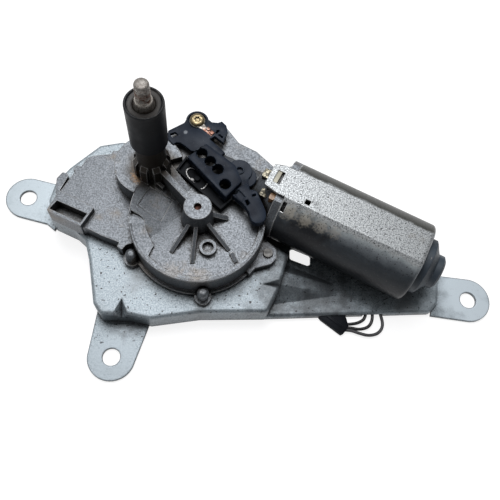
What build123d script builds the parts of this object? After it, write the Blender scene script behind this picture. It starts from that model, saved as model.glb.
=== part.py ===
from build123d import *
from math import acos, atan, atan2, cos, degrees, hypot, pi, radians, sin
import os

# Rear wiper motor: a worm gearbox in a cast housing, a permanent-magnet motor in a steel can,
# and a pressed steel bracket that carries both.
# Millimetres. Everything is drawn about the worm wheel's axis, with height 0 at the top of the
# housing's rim. Each piece is then written out in the part's own frame, whose origin is on the
# wiper spindle's axis, where its thread begins, with +Z along the spindle.

# Heights and sheet
floor_depth = 2.0
housing_depth = 16.5
cover_thickness = 1.5
sheet = 2.0
arm_drop = 11.5
ear_drop = 15.0

# Housing
rim_r = 40.0
rim_width = 3.4
wall = 2.5
hub_r = 20.5
hub_centre = (-29.5, 33.0)
hub_top = 5.0
hub_room_r = 17.8
cover_overlap = 1.5
base_flange = 2.0
slope_start = 9.0
slope_rise = 0.24
left_arm_thickness = 9.0
socket_rise = 4.5
socket_depth = 8.0
boss_r = 8.0
boss_top = 15.8
tower_r = 8.6
tower_top = 64.0
tunnel_r = 9.5
tunnel_start = -22.0
neck_start = 20.0
neck_r = 21.5
flange_thickness = 5.0

# Spindle
spindle_x = -27.0
spindle_y = 30.5
spindle_r = 5.0
spindle_seat = 72.0
thread_r = 4.0
thread_length = 12.5
cone_length = 6.0
cone_base_r = 6.2
cone_tip_r = 4.6
bush_wall = 2.0
bush_length = 12.0
running = 0.03

# Rubber sleeve over the tower
sleeve_r = 10.5
sleeve_bottom = 35.6
sleeve_top = 69.5
sleeve_recess_r = 7.7
sleeve_lip = 2.0

# Worm gearing
wheel_teeth = 60
tooth_module = 1.13
worm_pitch_r = 4.9
backlash = 0.35
pressure_angle = 20.0
worm_turns = 7
worm_steps = 16
wheel_face = 7.0
wheel_gap = 0.3
web_thickness = 3.0
rim_thickness = 4.0
wheel_hub_r = 8.0
axle_r = 4.0
axle_head_room = 3.0

# Crank, rod and lever between the wheel and the spindle
crank_r = 10.0
lever_length = 13.0
rod_length = 42.0
link_thickness = 1.8
link_gap = 0.3
crank_pin_r = 3.0
lever_pin_r = 2.5
eye_wall = 2.2
pin_end_gap = 0.2
lever_end_r = 4.0

# Motor
motor_angle = 27.5
shaft_level = -6.0
can_r = 24.6
can_flat = 22.6
can_wall = 2.0
can_front = 41.0
spigot_length = 4.0
spigot_bore_r = 14.5
can_rear = 128.0
shaft_r = 3.0
magnet_thickness = 5.0
magnet_half_angle = 52.0
air_gap = 0.7
stack_start = 70.0
stack_length = 42.0
slot_count = 12
slot_width = 2.2
slot_depth = 6.5
commutator_r = 9.0
commutator_start = 49.0
commutator_length = 13.0
bearing_length = 7.0
boot_r = 17.3
boot_nose_r = 10.5
boot_length = 14.0
brush_width = 5.0
brush_length = 8.0
brush_gap = 0.05

# Screws
cover_screw_r = 1.7
mount_screw_r = 2.4
can_screw_r = 1.25
can_screw_side = 6.0
can_screw_grip = 5.0
plate_screw_r = 1.7
screw_clearance = 0.05
block_clearance = 0.15
head_share = 1.1

# Bracket
ear_hole_r = 5.2
ear_r = 14.0
bend_r = 2.0
left_ear = (-109.0, 28.5)
front_ear = (-49.6, -74.8)
right_ear = (171.9, -39.0)

# Leads and their connector
lead_r = 1.0
lead_sides = 10
grommet_s = 100.0
connector_height = 6.0

# Values that follow from those above
plate_top = -housing_depth - cover_thickness
under_plate = plate_top - sheet
arm_top = plate_top - arm_drop
ear_top = plate_top - ear_drop
ear_bottom = ear_top - sheet
left_arm_top = plate_top + left_arm_thickness
socket_top = left_arm_top + socket_rise
ceiling = -floor_depth - wall
chamber_r = rim_r - wall - 0.3
wheel_r = tooth_module * wheel_teeth / 2
wheel_tip_r = wheel_r + tooth_module
wheel_root_r = wheel_r - 1.25 * tooth_module
centre_distance = wheel_r + worm_pitch_r
tooth_pitch = pi * tooth_module
lead_angle = degrees(atan(tooth_pitch / (2 * pi * worm_pitch_r)))
worm_tip_r = worm_pitch_r + tooth_module
worm_root_r = worm_pitch_r - 1.25 * tooth_module
worm_length = worm_turns * tooth_pitch
tunnel_bore_r = worm_tip_r + 1.0
wheel_top = ceiling - wheel_gap
wheel_bottom = wheel_top - wheel_face
lever_top = wheel_bottom - link_gap
lever_bottom = lever_top - link_thickness
rod_top = lever_bottom - link_gap
rod_bottom = rod_top - link_thickness
flange_front = can_front - flange_thickness
can_inner_r = can_r - can_wall
can_inner_flat = can_flat - can_wall
magnet_inner_r = can_inner_r - magnet_thickness
stack_r = magnet_inner_r - air_gap
bush_r = spindle_r + bush_wall
bearing_r = shaft_r + bush_wall
spindle_end = lever_bottom
hub_room_top = ceiling
can_screw_s = can_front + spigot_length / 2
carrier_start = can_front + spigot_length
commutator_end = commutator_start + commutator_length
stack_end = stack_start + stack_length

# The shaft runs along motor_frame's X; its origin is the shaft's nearest point to the wheel's axis
along = (cos(radians(motor_angle)), -sin(radians(motor_angle)))
across = (sin(radians(motor_angle)), cos(radians(motor_angle)))
motor_frame = Plane(
    origin=(centre_distance * across[0], centre_distance * across[1], shaft_level),
    x_dir=(along[0], along[1], 0),
    z_dir=(0, 0, 1),
)
to_part_frame = Location((-spindle_x, -spindle_y, -spindle_seat))
parts = {}


def post(radius, x, y, low, high):
    """An upright cylinder between two heights."""
    return Pos(x, y, low) * extrude(Circle(radius), high - low)


def cone(low_r, high_r, x, y, low, high):
    """An upright cone between two heights."""
    return Pos(x, y, low) * loft([Circle(low_r), Pos(0, 0, high - low) * Circle(high_r)])


def slab(points, low, high, corner=0.0):
    """An upright prism of a closed outline, its corners rounded."""
    face = make_face(Polyline(*points, close=True))
    if corner:
        face = fillet(face.vertices(), corner)
    return Pos(0, 0, low) * extrude(face, high - low)


def in_motor(shape):
    """Puts a piece that is drawn along the shaft's X in its place."""
    return motor_frame.location * shape


def bar(radius, start, end, y=0.0, z=0.0):
    """A round bar along the shaft, in the motor's own frame."""
    return Pos(start, y, z) * extrude(Plane.YZ * Circle(radius), end - start)


def tube(outer_r, inner_r, start, end):
    """A sleeve along the shaft, in the motor's own frame."""
    return bar(outer_r, start, end) - bar(inner_r, start - 1, end + 1)


def can_length(radius, flat, start, end, top_flat=None):
    """A length of the can's round section with its flats above and below."""
    upper = flat if top_flat is None else top_flat
    window_shape = Pos(0, (upper - flat) / 2) * Rectangle(2 * radius, upper + flat)
    return Pos(start, 0, 0) * extrude(Plane.YZ * (Circle(radius) & window_shape), end - start)


def motor_point(s, y):
    """The place on the drawing of a point s along the shaft and y across it."""
    x0 = centre_distance * across[0]
    y0 = centre_distance * across[1]
    return (x0 + s * along[0] + y * across[0], y0 + s * along[1] + y * across[1])


def direction(start, end):
    return degrees(atan2(end[1] - start[1], end[0] - start[0]))


def polar(radius, angle, centre=(0.0, 0.0)):
    return (centre[0] + radius * cos(radians(angle)), centre[1] + radius * sin(radians(angle)))


def link(start, end, start_r, end_r, low, high):
    """A flat link with two round ends of their own sizes."""
    plate = post(start_r, start[0], start[1], low, high) + post(end_r, end[0], end[1], low, high)
    angle = direction(start, end)
    sides = [
        polar(start_r, angle + 90, start), polar(end_r, angle + 90, end),
        polar(end_r, angle - 90, end), polar(start_r, angle - 90, start),
    ]
    return plate + slab(sides, low, high)


def wedge(near, far):
    """A straight-sided solid between two outlines that stand on parallel planes."""
    faces = [place * make_face(Polyline(*outline, close=True)) for place, outline in (near, far)]
    return loft(faces, ruled=True)


def rib(start, end, width, low, start_high, end_high):
    """An upright rib that runs from one point to another with a sloping top."""
    length = hypot(end[0] - start[0], end[1] - start[1])
    side = make_face(Polyline((0, low), (length, low), (length, end_high), (0, start_high), close=True))
    plate = extrude(Plane.XZ * side, width / 2, both=True)
    return Pos(start[0], start[1], 0) * Rot(0, 0, direction(start, end)) * plate


# Linkage at rest: crank and rod in line, the lever at the far end of its sweep
spindle_distance = hypot(spindle_x, spindle_y)


def lever_turn(reach):
    """The lever's angle from the line to the wheel, when its pin is this far from the wheel."""
    share = (spindle_distance**2 + lever_length**2 - reach**2) / (2 * spindle_distance * lever_length)
    return degrees(acos(share))


far_turn = lever_turn(rod_length + crank_r)
near_turn = lever_turn(rod_length - crank_r)
lever_angle = direction((spindle_x, spindle_y), (0, 0)) - far_turn
lever_pin = polar(lever_length, lever_angle, (spindle_x, spindle_y))
rod_angle = direction((0, 0), lever_pin)
crank_pin = polar(crank_r, rod_angle)
near_pin = polar(lever_length, lever_angle + far_turn - near_turn, (spindle_x, spindle_y))
rod_turn = direction((0, 0), near_pin) - rod_angle
print("spindle sweep", far_turn - near_turn, "rod turn", rod_turn)
print("lever pin", lever_pin, "crank pin", crank_pin)


# Bracket: a pressed pan with a high plate, a lower arm under the motor, and three ears at its foot
plate_outline = [
    (-89.0, 33.0), (-81.3, 43.2), (-63.8, 60.0), (-50.0, 63.0), (-20.0, 60.0), (10.0, 54.0),
    (30.0, 46.0), motor_point(20.0, 10.0), motor_point(20.0, -22.5), motor_point(34.0, -23.0),
    motor_point(49.0, -24.5), (56.0, -15.0), (50.5, -32.5), (48.5, -38.5), (42.0, -51.5),
    (1.8, -52.0), (-27.0, -56.0), (-39.0, -53.5), (-55.5, -53.0), (-60.0, -46.5), (-64.6, -19.4),
    (-68.0, -6.4), (-75.0, 0.0), (-89.5, 7.0), (-92.0, 20.0),
]
skirt_start = (38.0, -51.5)
skirt_end = (145.0, -48.0)
arm_outline = [
    (30.0, -40.0), skirt_start, skirt_end, (150.5, -42.0), (154.0, -24.0), (146.0, -19.5),
    motor_point(120.0, 8.0), motor_point(46.0, 8.0), motor_point(46.0, -26.0), (38.0, -18.0),
]
window = [(58.4, -5.3), (71.4, -11.0), (70.9, -18.7), (58.0, -13.6)]
plate_corner = 3.0
ramp_rise = 6.5


def pan_face(outline):
    face = make_face(Polyline(*outline, close=True))
    return fillet(face.vertices(), plate_corner)


def pan(outline, top):
    """The outside of a pressed tray, its upper edge rounded by the bend."""
    solid = Pos(0, 0, ear_bottom) * extrude(pan_face(outline), top - ear_bottom)
    return fillet(solid.faces().sort_by(Axis.Z)[-1].edges(), bend_r)


def pan_room(outline, top):
    """The space under a pressed tray, one sheet inside it."""
    face = offset(pan_face(outline), -sheet, kind=Kind.INTERSECTION)
    return Pos(0, 0, ear_bottom - 1) * extrude(face, top - sheet - ear_bottom + 1)


def ear(centre, root_left, root_right):
    """A flat ear: a round end joined to the pan's wall, seen from the pan."""
    middle = ((root_left[0] + root_right[0]) / 2, (root_left[1] + root_right[1]) / 2)
    angle = direction(middle, centre)
    sides = [root_left, polar(ear_r, angle + 90, centre), polar(ear_r, angle - 90, centre), root_right]
    return slab(sides, ear_bottom, ear_top) + post(ear_r, centre[0], centre[1], ear_bottom, ear_top)


def ramp(level):
    """The stiffening ramp that rises in the arm towards the plate."""
    high = [
        (-14.0, level - 3.5), (-14.0, level), (-22.0, level + ramp_rise - 0.5),
        (-31.7, level + ramp_rise), (-43.5, level), (-43.5, level - 3.5),
    ]
    low = [
        (-30.0, level - 3.5), (-30.0, level - 0.3), (-32.0, level - 0.2),
        (-37.0, level - 0.2), (-38.0, level - 0.3), (-38.0, level - 3.5),
    ]
    return wedge((Pos(46.0, 0, 0) * Plane.YZ.location, high), (Pos(88.0, 0, 0) * Plane.YZ.location, low))


def dart(tip, mouth, half_width, depth, grow=0.0):
    """A V-shaped crease across the plate's edge, pointed where it begins."""
    length = hypot(mouth[0] - tip[0], mouth[1] - tip[1])
    top = plate_top + 0.5
    place = Pos(tip[0], tip[1], 0) * Rot(0, 0, direction(tip, mouth))
    near = [(-0.4 - grow, top), (0.4 + grow, top), (0.0, plate_top - 0.3 - grow)]
    far = [(-half_width - grow, top), (half_width + grow, top), (0.0, plate_top - depth - grow)]
    return wedge((place * Plane.YZ.location, near), (place * Pos(length, 0, 0) * Plane.YZ.location, far))


darts = [((-43.7, -44.0), (-44.2, -56.0), 6.0, 9.0), ((39.5, -34.3), (54.0, -34.0), 4.5, 5.0)]


def make_bracket():
    plate_room = pan_room(plate_outline, plate_top)
    shell = pan(plate_outline, plate_top) + pan(arm_outline, arm_top) + ramp(arm_top)
    for tip, mouth, half_width, depth in darts:
        shell -= dart(tip, mouth, half_width, depth)
        plate_room -= dart(tip, mouth, half_width, depth, sheet)
    shell -= plate_room
    shell -= pan_room(arm_outline, arm_top) + ramp(arm_top - sheet)
    shell += ear(left_ear, (-92.0, 9.4), (-90.0, 38.0))
    shell += slab([(-98.0, 12.5), (-90.2, 5.8), (-88.0, 10.0), (-92.0, 14.0)], ear_bottom, ear_top)
    shell += ear(front_ear, (-28.0, -54.5), (-59.5, -46.5))
    shell += ear(right_ear, (152.5, -22.5), (146.0, -49.4))
    for centre in (left_ear, front_ear, right_ear):
        shell -= post(ear_hole_r, centre[0], centre[1], ear_bottom - 1, ear_top + 1)
    shell -= slab(window, arm_top - sheet - 1, arm_top + 1, 2.0)
    for place in cover_screw_places:
        shell -= post(cover_screw_r + screw_clearance, place[0], place[1], under_plate - 1, plate_top + 1)
    for place in mount_places + [rivet_place]:
        shell -= post(mount_screw_r + screw_clearance, place[0], place[1], under_plate - 1, plate_top + 1)
    shell -= post(grommet_neck_r, grommet_place[0], grommet_place[1], arm_top - sheet - 1, arm_top + 1)
    shell -= slab(lead_notch, ear_bottom - 1, arm_top - sheet)
    return shell


# Places that the bracket, the housing and their screws share
lug_r = 43.4
lug_angles = (-85.4, -152.7)
lug_boss_r = 3.4
lug_seat_r = 5.0
lug_top = -6.0
lug_dome = 2.2
cover_screw_places = [polar(lug_r, angle) for angle in lug_angles]
mount_places = [(-58.0, 24.0), (-13.5, 51.8)]
mount_boss_r = 5.0
rivet_place = (42.3, -16.6)
rivet_ear_top = -13.0
rivet_ear = [(37.0, -8.5), (43.2, -8.9), (47.4, -13.6), (47.6, -19.4), (44.0, -23.2), (34.5, -26.0), (28.0, -20.0)]
ear_block = [(28.4, -27.6), (31.4, -23.2), (34.6, -25.9), (30.7, -30.3)]
arm_room = [
    (-70.0, 22.0), (-66.0, 36.0), (-52.0, 38.0), (-52.0, 30.5), (-64.5, 30.0), (-64.5, 18.0),
    (-50.0, 16.0), (-52.0, 6.0), (-58.0, 4.0),
]
grommet_place = motor_point(grommet_s, 0.0)
grommet_neck_r = 4.0
lead_notch = [(102.6, -56.0), (102.6, -44.0), (114.8, -44.0), (114.8, -56.0)]
screw_reach = 8.0
parts["bracket"] = make_bracket()

# Housing: the cast case of the gearbox, open below
back_outline = [
    (-38.0, 46.0), (-20.0, 56.0), (-8.0, 66.5), (-3.0, 71.5), (3.0, 70.5), (9.0, 65.5), (17.0, 64.0),
    (25.0, 52.5), (36.0, 46.5), motor_point(26.0, 14.0), motor_point(26.0, -10.0), (0.0, 10.0),
]
back_top = 0.0
left_outline = [
    (-83.0, 21.5), (-77.4, 31.6), (-75.6, 35.0), (-77.2, 36.6), (-74.6, 39.4), (-72.2, 38.4),
    (-69.6, 44.2), (-66.0, 46.3), (-54.6, 47.9), (-53.5, 50.4), (-38.0, 50.0), (-30.0, 10.0),
    (-37.0, -12.0), (-42.0, -13.6), (-44.2, -16.6), (-47.2, -14.6), (-46.0, -12.0),
    (-56.7, -7.7), (-65.5, -3.1), (-70.0, -3.0), (-89.0, 7.0),
]
end_block = [
    (-86.4, 21.5), (-86.8, 31.0), (-83.6, 35.4), (-80.5, 34.6), (-80.0, 32.4), (-84.0, 23.0),
    (-81.0, 16.6), (-84.3, 15.0),
]
end_block_top = -11.0
socket_corners = [(-82.6, 19.3), (-61.4, 8.5), (-68.3, -3.9), (-88.8, 6.0)]
slot_corners = [(-83.4, 12.6), (-65.2, 4.2), (-68.6, -1.9), (-87.2, 7.2)]
rib_ends = [((-15.1, -21.1), 2.2), ((-2.9, -27.8), 2.2), ((18.3, -19.5), 2.2), ((18.0, 1.0), 3.0)]
ring_boss = (6.1, -18.6)
crescent = [
    (-39.0, 3.6), (-33.4, 0.7), (-31.2, -1.5), (-30.5, -5.5), (-27.7, -12.2), (-24.9, -17.8),
    (-25.9, -19.4), (-28.6, -26.0), (-33.5, -18.0), (-38.0, -6.0),
]
pad_corners = [(-28.6, 18.6), (-14.9, 11.6), (-21.4, -1.4), (-35.2, 6.6)]
pad_depth = 0.4
foot_ribs = 8
plate_screw_place = (-0.9, 65.8)
contact_low = back_top + 3.6
tongue_front = 27.0


def cover_outline(extra=0.0):
    """The closing plate's outline: the wheel's chamber, the lever's room and the screw lugs."""
    shape = Circle(rim_r + cover_overlap + extra)
    shape += Pos(spindle_x, spindle_y) * Circle(hub_room_r + cover_overlap + extra)
    for x, y in cover_screw_places:
        shape += Pos(x, y) * Circle(lug_seat_r + extra)
    return shape


def neck(extra=0.0):
    """The cone between the worm's tunnel and the can, in the motor's own frame."""
    small = Pos(neck_start, 0, 0) * (Plane.YZ * Circle(tunnel_r + extra))
    large = Pos(flange_front, 0, 0) * (Plane.YZ * Circle(neck_r + extra))
    return loft([small, large])


def slope(drop=0.0):
    """The floor that climbs from the middle of the disc to the tower."""
    end = slope_start + 33.0
    start_level = -floor_depth - slope_rise - drop
    end_level = -floor_depth + 33.0 * slope_rise - drop
    side = make_face(Polyline(
        (slope_start - 1, start_level), (end, end_level), (end, ceiling), (slope_start - 1, ceiling), close=True,
    ))
    prism = Pos(0, 9.0, 0) * extrude(Plane.XZ * side, 19.0, both=True)
    prism = Rot(0, 0, direction((0, 0), (spindle_x, spindle_y))) * prism
    return prism & post(rim_r, 0, 0, ceiling - 1, hub_top + 6)


def lug(place):
    """A screw lug with a domed top on a wider seat."""
    body = post(lug_boss_r, place[0], place[1], -housing_depth, lug_top)
    body = fillet(body.edges().sort_by(Axis.Z)[-1], lug_dome)
    return body + post(lug_seat_r, place[0], place[1], -housing_depth, -housing_depth + 2.0)


def tower_foot():
    """Buttresses round the foot of the tower."""
    reach = tower_r + 2.4
    side = make_face(Polyline((0, 0), (reach, 0), (reach - 0.4, 15.0), (tower_r, 18.0), (0, 18.0), close=True))
    buttress = extrude(Plane.XZ * side, 2.2, both=True)
    place = Pos(spindle_x, spindle_y, hub_top - 4.0)
    return [place * Rot(0, 0, 20 + k * 360.0 / foot_ribs) * buttress for k in range(foot_ribs)]


def make_housing():
    floor = -floor_depth
    case = post(hub_r, hub_centre[0], hub_centre[1], -housing_depth, hub_top)
    case -= post(rim_r, 0, 0, -housing_depth, hub_top + 1)
    case += post(rim_r, 0, 0, -housing_depth, 0) - post(rim_r - rim_width, 0, 0, floor, 1)
    case += post(rim_r + base_flange, 0, 0, -housing_depth, -housing_depth + 2.0)
    case += slope() - slab(crescent, ceiling - 1, hub_top)
    case += slab(crescent, ceiling, 0)
    case += slab(back_outline, -housing_depth, back_top, 1.5)
    case += slab(left_outline, plate_top, left_arm_top, 0.5)
    case += slab(end_block, plate_top, end_block_top, 0.8)
    case += slab(socket_corners, plate_top, socket_top, 0.8)
    case += in_motor(bar(tunnel_r, tunnel_start, neck_start + 2))
    case += in_motor(neck() - Pos((neck_start + can_front) / 2, 0, can_inner_flat + 10) * Box(40, 40, 20))
    case += in_motor(can_length(can_r, can_flat, flange_front, can_front, can_inner_flat))
    pad_length = flange_front - tongue_front - 1.5
    pad = Pos(flange_front - pad_length / 2 + 0.5, 0, can_inner_flat - 3.0) * Box(pad_length + 1.0, 13.6, 6.0)
    case += in_motor(pad)
    case += in_motor(
        can_length(can_inner_r - 0.05, can_inner_flat - 0.05, can_front, carrier_start)
        - bar(spigot_bore_r, can_front - 1, carrier_start + 1)
    )
    case += [lug(place) for place in cover_screw_places]
    case += slab(rivet_ear, plate_top, rivet_ear_top, 1.5)
    case += slab(ear_block, -housing_depth, rivet_ear_top + 1.0, 0.5)
    case -= Pos(0, 0, plate_top - 1) * extrude(cover_outline(0.3), cover_thickness + 1)
    case += post(mount_boss_r, mount_places[1][0], mount_places[1][1], plate_top, -housing_depth + 1)
    case -= slab(arm_room, plate_top - 1, left_arm_top - wall, 1.0)
    case -= post(chamber_r, 0, 0, plate_top - 1, ceiling)
    case -= post(hub_room_r, spindle_x, spindle_y, plate_top - 1, hub_room_top)
    case -= in_motor(bar(tunnel_bore_r, -worm_length / 2 - 1, neck_start))
    case -= slab([(-4.0, 60.5), (6.0, 58.0), (9.0, 50.5), (-4.0, 50.5)], plate_top - 1, back_top - wall, 2.0)
    case -= slab(slot_corners, socket_top - socket_depth, socket_top + 1)
    case -= slab(pad_corners, floor - pad_depth, hub_top + 5) - slope(pad_depth)
    case += post(tower_r, spindle_x, spindle_y, hub_room_top, tower_top)
    case += tower_foot()
    case += cone(boss_r + 2.0, boss_r, 0, 0, ceiling, boss_top)
    case += rib((spindle_x, spindle_y), (0, 0), 3.4, ceiling + 0.5, boss_top - 1.5, boss_top - 1.5)
    case += rib((-25.4, 21.6), (-20.2, 17.4), 2.2, 0.0, hub_top + 1.2, hub_top + 0.6)
    for end, width in rib_ends:
        case += rib((0, 0), end, width, ceiling + 1, boss_top - 5.0, floor + 0.8)
    case += rib((19.6, -21.4), (22.3, -26.9), 2.4, ceiling + 1, floor + 2.2, floor + 0.6)
    case += post(5.0, ring_boss[0], ring_boss[1], floor - 0.5, floor + 3.2)
    case -= post(3.3, ring_boss[0], ring_boss[1], floor, floor + 4.0)
    case -= post(bush_r, spindle_x, spindle_y, plate_top, tower_top + 1)
    case -= post(axle_r, 0, 0, plate_top, boss_top - axle_head_room)
    case -= post(2.2, 0, 0, boss_top - axle_head_room - 1, boss_top + 1)
    case -= in_motor(bar(bearing_r, tunnel_start + 2.0, can_front + 1))
    for x, y in cover_screw_places:
        case -= post(cover_screw_r + screw_clearance, x, y, plate_top - 1, plate_top + screw_reach + 1)
    for x, y in mount_places + [rivet_place]:
        case -= post(mount_screw_r + screw_clearance, x, y, plate_top - 1, plate_top + screw_reach)
    x, y = plate_screw_place
    case -= post(plate_screw_r + screw_clearance, x, y, back_top - screw_reach, back_top + 1)
    grip_top = shaft_level - can_inner_flat + can_screw_grip + 1
    for x, y in can_screw_places:
        case -= post(can_screw_r + screw_clearance, x, y, shaft_level - can_r, grip_top)
    return case


can_screw_places = [motor_point(can_screw_s, side * can_screw_side) for side in (-1, 1)]
parts["gear_housing"] = make_housing()


# Base cover: the steel plate that closes the gearbox, held between housing and bracket
def make_base_cover():
    plate = Pos(0, 0, plate_top) * extrude(cover_outline(), cover_thickness)
    for x, y in cover_screw_places:
        plate -= post(cover_screw_r + screw_clearance, x, y, plate_top - 1, plate_top + cover_thickness + 1)
    return plate


parts["base_cover"] = make_base_cover()


def screws(places, radius, seat, reach):
    """Screws driven upwards, with round heads below their seat."""
    group = []
    for x, y in places:
        head = post(1.75 * radius, x, y, seat - head_share * radius, seat)
        group.append(chamfer(head.edges().sort_by(Axis.Z)[0], 0.5) + post(radius, x, y, seat, seat + reach))
    return Compound(children=group)


parts["cover_screws"] = screws(cover_screw_places, cover_screw_r, under_plate, sheet + screw_reach)
parts["bracket_screws"] = screws(mount_places, mount_screw_r, under_plate, sheet + screw_reach - 1)
parts["can_screws"] = screws(can_screw_places, can_screw_r, shaft_level - can_flat, can_wall + can_screw_grip)
rivet_head_r = 3.2
rivet = post(mount_screw_r, rivet_place[0], rivet_place[1], under_plate, rivet_ear_top)
rivet += post(4.5, rivet_place[0], rivet_place[1], under_plate - 1.5, under_plate)
rivet += cone(rivet_head_r, rivet_head_r - 0.4, rivet_place[0], rivet_place[1], rivet_ear_top, rivet_ear_top + 1.5)
parts["ear_rivet"] = rivet


# Spindle, its bushes and the rubber sleeve over the tower
def make_spindle():
    profile = [
        (0, spindle_end), (spindle_r, spindle_end), (spindle_r, spindle_seat - cone_length),
        (cone_base_r, spindle_seat - cone_length + 0.4), (cone_tip_r, spindle_seat), (thread_r, spindle_seat),
        (thread_r, spindle_seat + thread_length - 1.0), (thread_r - 1.0, spindle_seat + thread_length),
        (0, spindle_seat + thread_length),
    ]
    turned = revolve(Plane.XZ * make_face(Polyline(*profile, close=True)), Axis.Z)
    return Pos(spindle_x, spindle_y, 0) * turned


def upright_bush(low, high):
    body = post(bush_r, spindle_x, spindle_y, low, high)
    return body - post(spindle_r + running, spindle_x, spindle_y, low - 1, high + 1)


def make_sleeve():
    bore_top = tower_top
    lip_top = bore_top + sleeve_lip
    profile = [
        (tower_r, sleeve_bottom), (sleeve_r, sleeve_bottom), (sleeve_r, sleeve_top - 1.0),
        (sleeve_r - 1.0, sleeve_top), (sleeve_recess_r, sleeve_top), (sleeve_recess_r - 0.5, lip_top),
        (cone_base_r + 0.3, lip_top), (cone_base_r + 0.3, bore_top), (tower_r, bore_top),
    ]
    turned = revolve(Plane.XZ * make_face(Polyline(*profile, close=True)), Axis.Z)
    return Pos(spindle_x, spindle_y, 0) * turned


parts["spindle"] = make_spindle()
parts["upper_spindle_bush"] = upright_bush(tower_top - bush_length, tower_top)
parts["lower_spindle_bush"] = upright_bush(hub_room_top, hub_room_top + bush_length)
parts["spindle_sleeve"] = make_sleeve()

# Lever, rod and their pin
lever = link((spindle_x, spindle_y), lever_pin, spindle_r + 3.0, lever_end_r, lever_bottom, lever_top)
lever -= post(spindle_r, spindle_x, spindle_y, lever_bottom - 1, lever_top + 1)
lever -= post(lever_pin_r, lever_pin[0], lever_pin[1], lever_bottom - 1, lever_top + 1)
parts["spindle_lever"] = lever
parts["lever_pin"] = post(lever_pin_r, lever_pin[0], lever_pin[1], rod_bottom, lever_top)
rod = link(crank_pin, lever_pin, crank_pin_r + eye_wall, lever_end_r, rod_bottom, rod_top)
rod -= post(crank_pin_r + running, crank_pin[0], crank_pin[1], rod_bottom - 1, rod_top + 1)
rod -= post(lever_pin_r + running, lever_pin[0], lever_pin[1], rod_bottom - 1, rod_top + 1)
parts["connecting_rod"] = rod


# Worm wheel with its crank pin, axle and clip
def tooth_gap():
    """The straight-sided space between two teeth, leaning with the worm's thread."""
    half = tooth_pitch / 4
    slope = sin(radians(pressure_angle)) / cos(radians(pressure_angle))
    low = wheel_root_r - wheel_r
    high = tooth_module + 0.6
    section = make_face(Polyline(
        (wheel_r + low, -half - low * slope), (wheel_r + high, -half - high * slope),
        (wheel_r + high, half + high * slope), (wheel_r + low, half + low * slope), close=True,
    ))
    return Rot(-lead_angle, 0, 0) * extrude(section, wheel_face, both=True)


def make_wheel():
    blank = post(wheel_tip_r, 0, 0, wheel_bottom, wheel_top)
    web_high = wheel_top - (wheel_face - web_thickness) / 2
    web_low = web_high - web_thickness
    room_r = wheel_root_r - rim_thickness
    blank -= post(room_r, 0, 0, web_high, wheel_top + 1)
    blank -= post(room_r, 0, 0, wheel_bottom - 1, web_low)
    blank += post(wheel_hub_r, 0, 0, wheel_bottom, wheel_top)
    blank += post(crank_pin_r + 2.2, crank_pin[0], crank_pin[1], wheel_bottom, web_low + 0.5)
    gap = tooth_gap()
    first = 90.0 - motor_angle
    gaps = [Pos(0, 0, shaft_level) * Rot(0, 0, first + k * 360.0 / wheel_teeth) * gap for k in range(wheel_teeth)]
    wheel = blank - gaps
    wheel -= post(axle_r + running, 0, 0, wheel_bottom - 1, wheel_top + 1)
    wheel -= post(axle_r + 2.0, 0, 0, wheel_bottom - 1, wheel_bottom + 1.4)
    wheel -= post(crank_pin_r, crank_pin[0], crank_pin[1], wheel_bottom - 1, wheel_bottom + 3.0)
    return wheel


parts["worm_wheel"] = make_wheel()
parts["crank_pin"] = post(crank_pin_r, crank_pin[0], crank_pin[1], rod_top + pin_end_gap, wheel_bottom + 3.0)
axle_low = wheel_bottom + 0.3
parts["wheel_axle"] = post(axle_r, 0, 0, axle_low, boss_top - axle_head_room)
clip = post(axle_r + 1.6, 0, 0, wheel_bottom + 0.4, wheel_bottom + 1.2) - post(axle_r, 0, 0, axle_low - 1, wheel_top)
parts["wheel_clip"] = clip


# Armature: shaft, worm, laminations, windings and commutator
def make_worm():
    start = -worm_length / 2
    core = tube(worm_root_r, shaft_r, start - 1.0, start + worm_length + 1.0)
    half_pitch = tooth_pitch / 4 - backlash / 2
    slope = sin(radians(pressure_angle)) / cos(radians(pressure_angle))
    low = worm_root_r - worm_pitch_r - 0.2
    high = tooth_module
    section = make_face(Polyline(
        (-half_pitch + low * slope, worm_pitch_r + low), (-half_pitch + high * slope, worm_pitch_r + high),
        (half_pitch - high * slope, worm_pitch_r + high), (half_pitch - low * slope, worm_pitch_r + low), close=True,
    ))
    upright = Plane(origin=(start, 0, 0), x_dir=(1, 0, 0), z_dir=(0, -1, 0))
    steps = worm_turns * worm_steps
    turns = [Pos(k * tooth_pitch / worm_steps, 0, 0) * Rot(k * 360.0 / worm_steps - 90.0, 0, 0) for k in range(steps + 1)]
    return core + loft([turn * (upright * section) for turn in turns], ruled=True)


def make_stack():
    sheet_face = Plane.YZ * (Circle(stack_r) - Circle(shaft_r))
    stack = Pos(stack_start, 0, 0) * extrude(sheet_face, stack_length)
    slot = Pos(0, stack_r - slot_depth / 2 + 0.5) * Rectangle(slot_width, slot_depth + 1.0)
    slot_bar = Pos(stack_start - 1, 0, 0) * extrude(Plane.YZ * slot, stack_length + 2)
    return stack - [Rot(k * 360.0 / slot_count, 0, 0) * slot_bar for k in range(slot_count)]


def make_windings():
    ring_outer = stack_r - 0.8
    ring_inner = stack_r - slot_depth
    head = 5.0
    coil = Pos(0, (ring_outer + ring_inner) / 2) * Rectangle(slot_width - 0.2, ring_outer - ring_inner)
    coil_bar = Pos(stack_start - head, 0, 0) * extrude(Plane.YZ * coil, stack_length + 2 * head)
    coils = [Rot(k * 360.0 / slot_count, 0, 0) * coil_bar for k in range(slot_count)]
    front = tube(ring_outer, ring_inner - 3.0, commutator_end, stack_start)
    rear = tube(ring_outer, ring_inner - 3.0, stack_end, stack_end + head)
    return front + rear + coils


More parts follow.
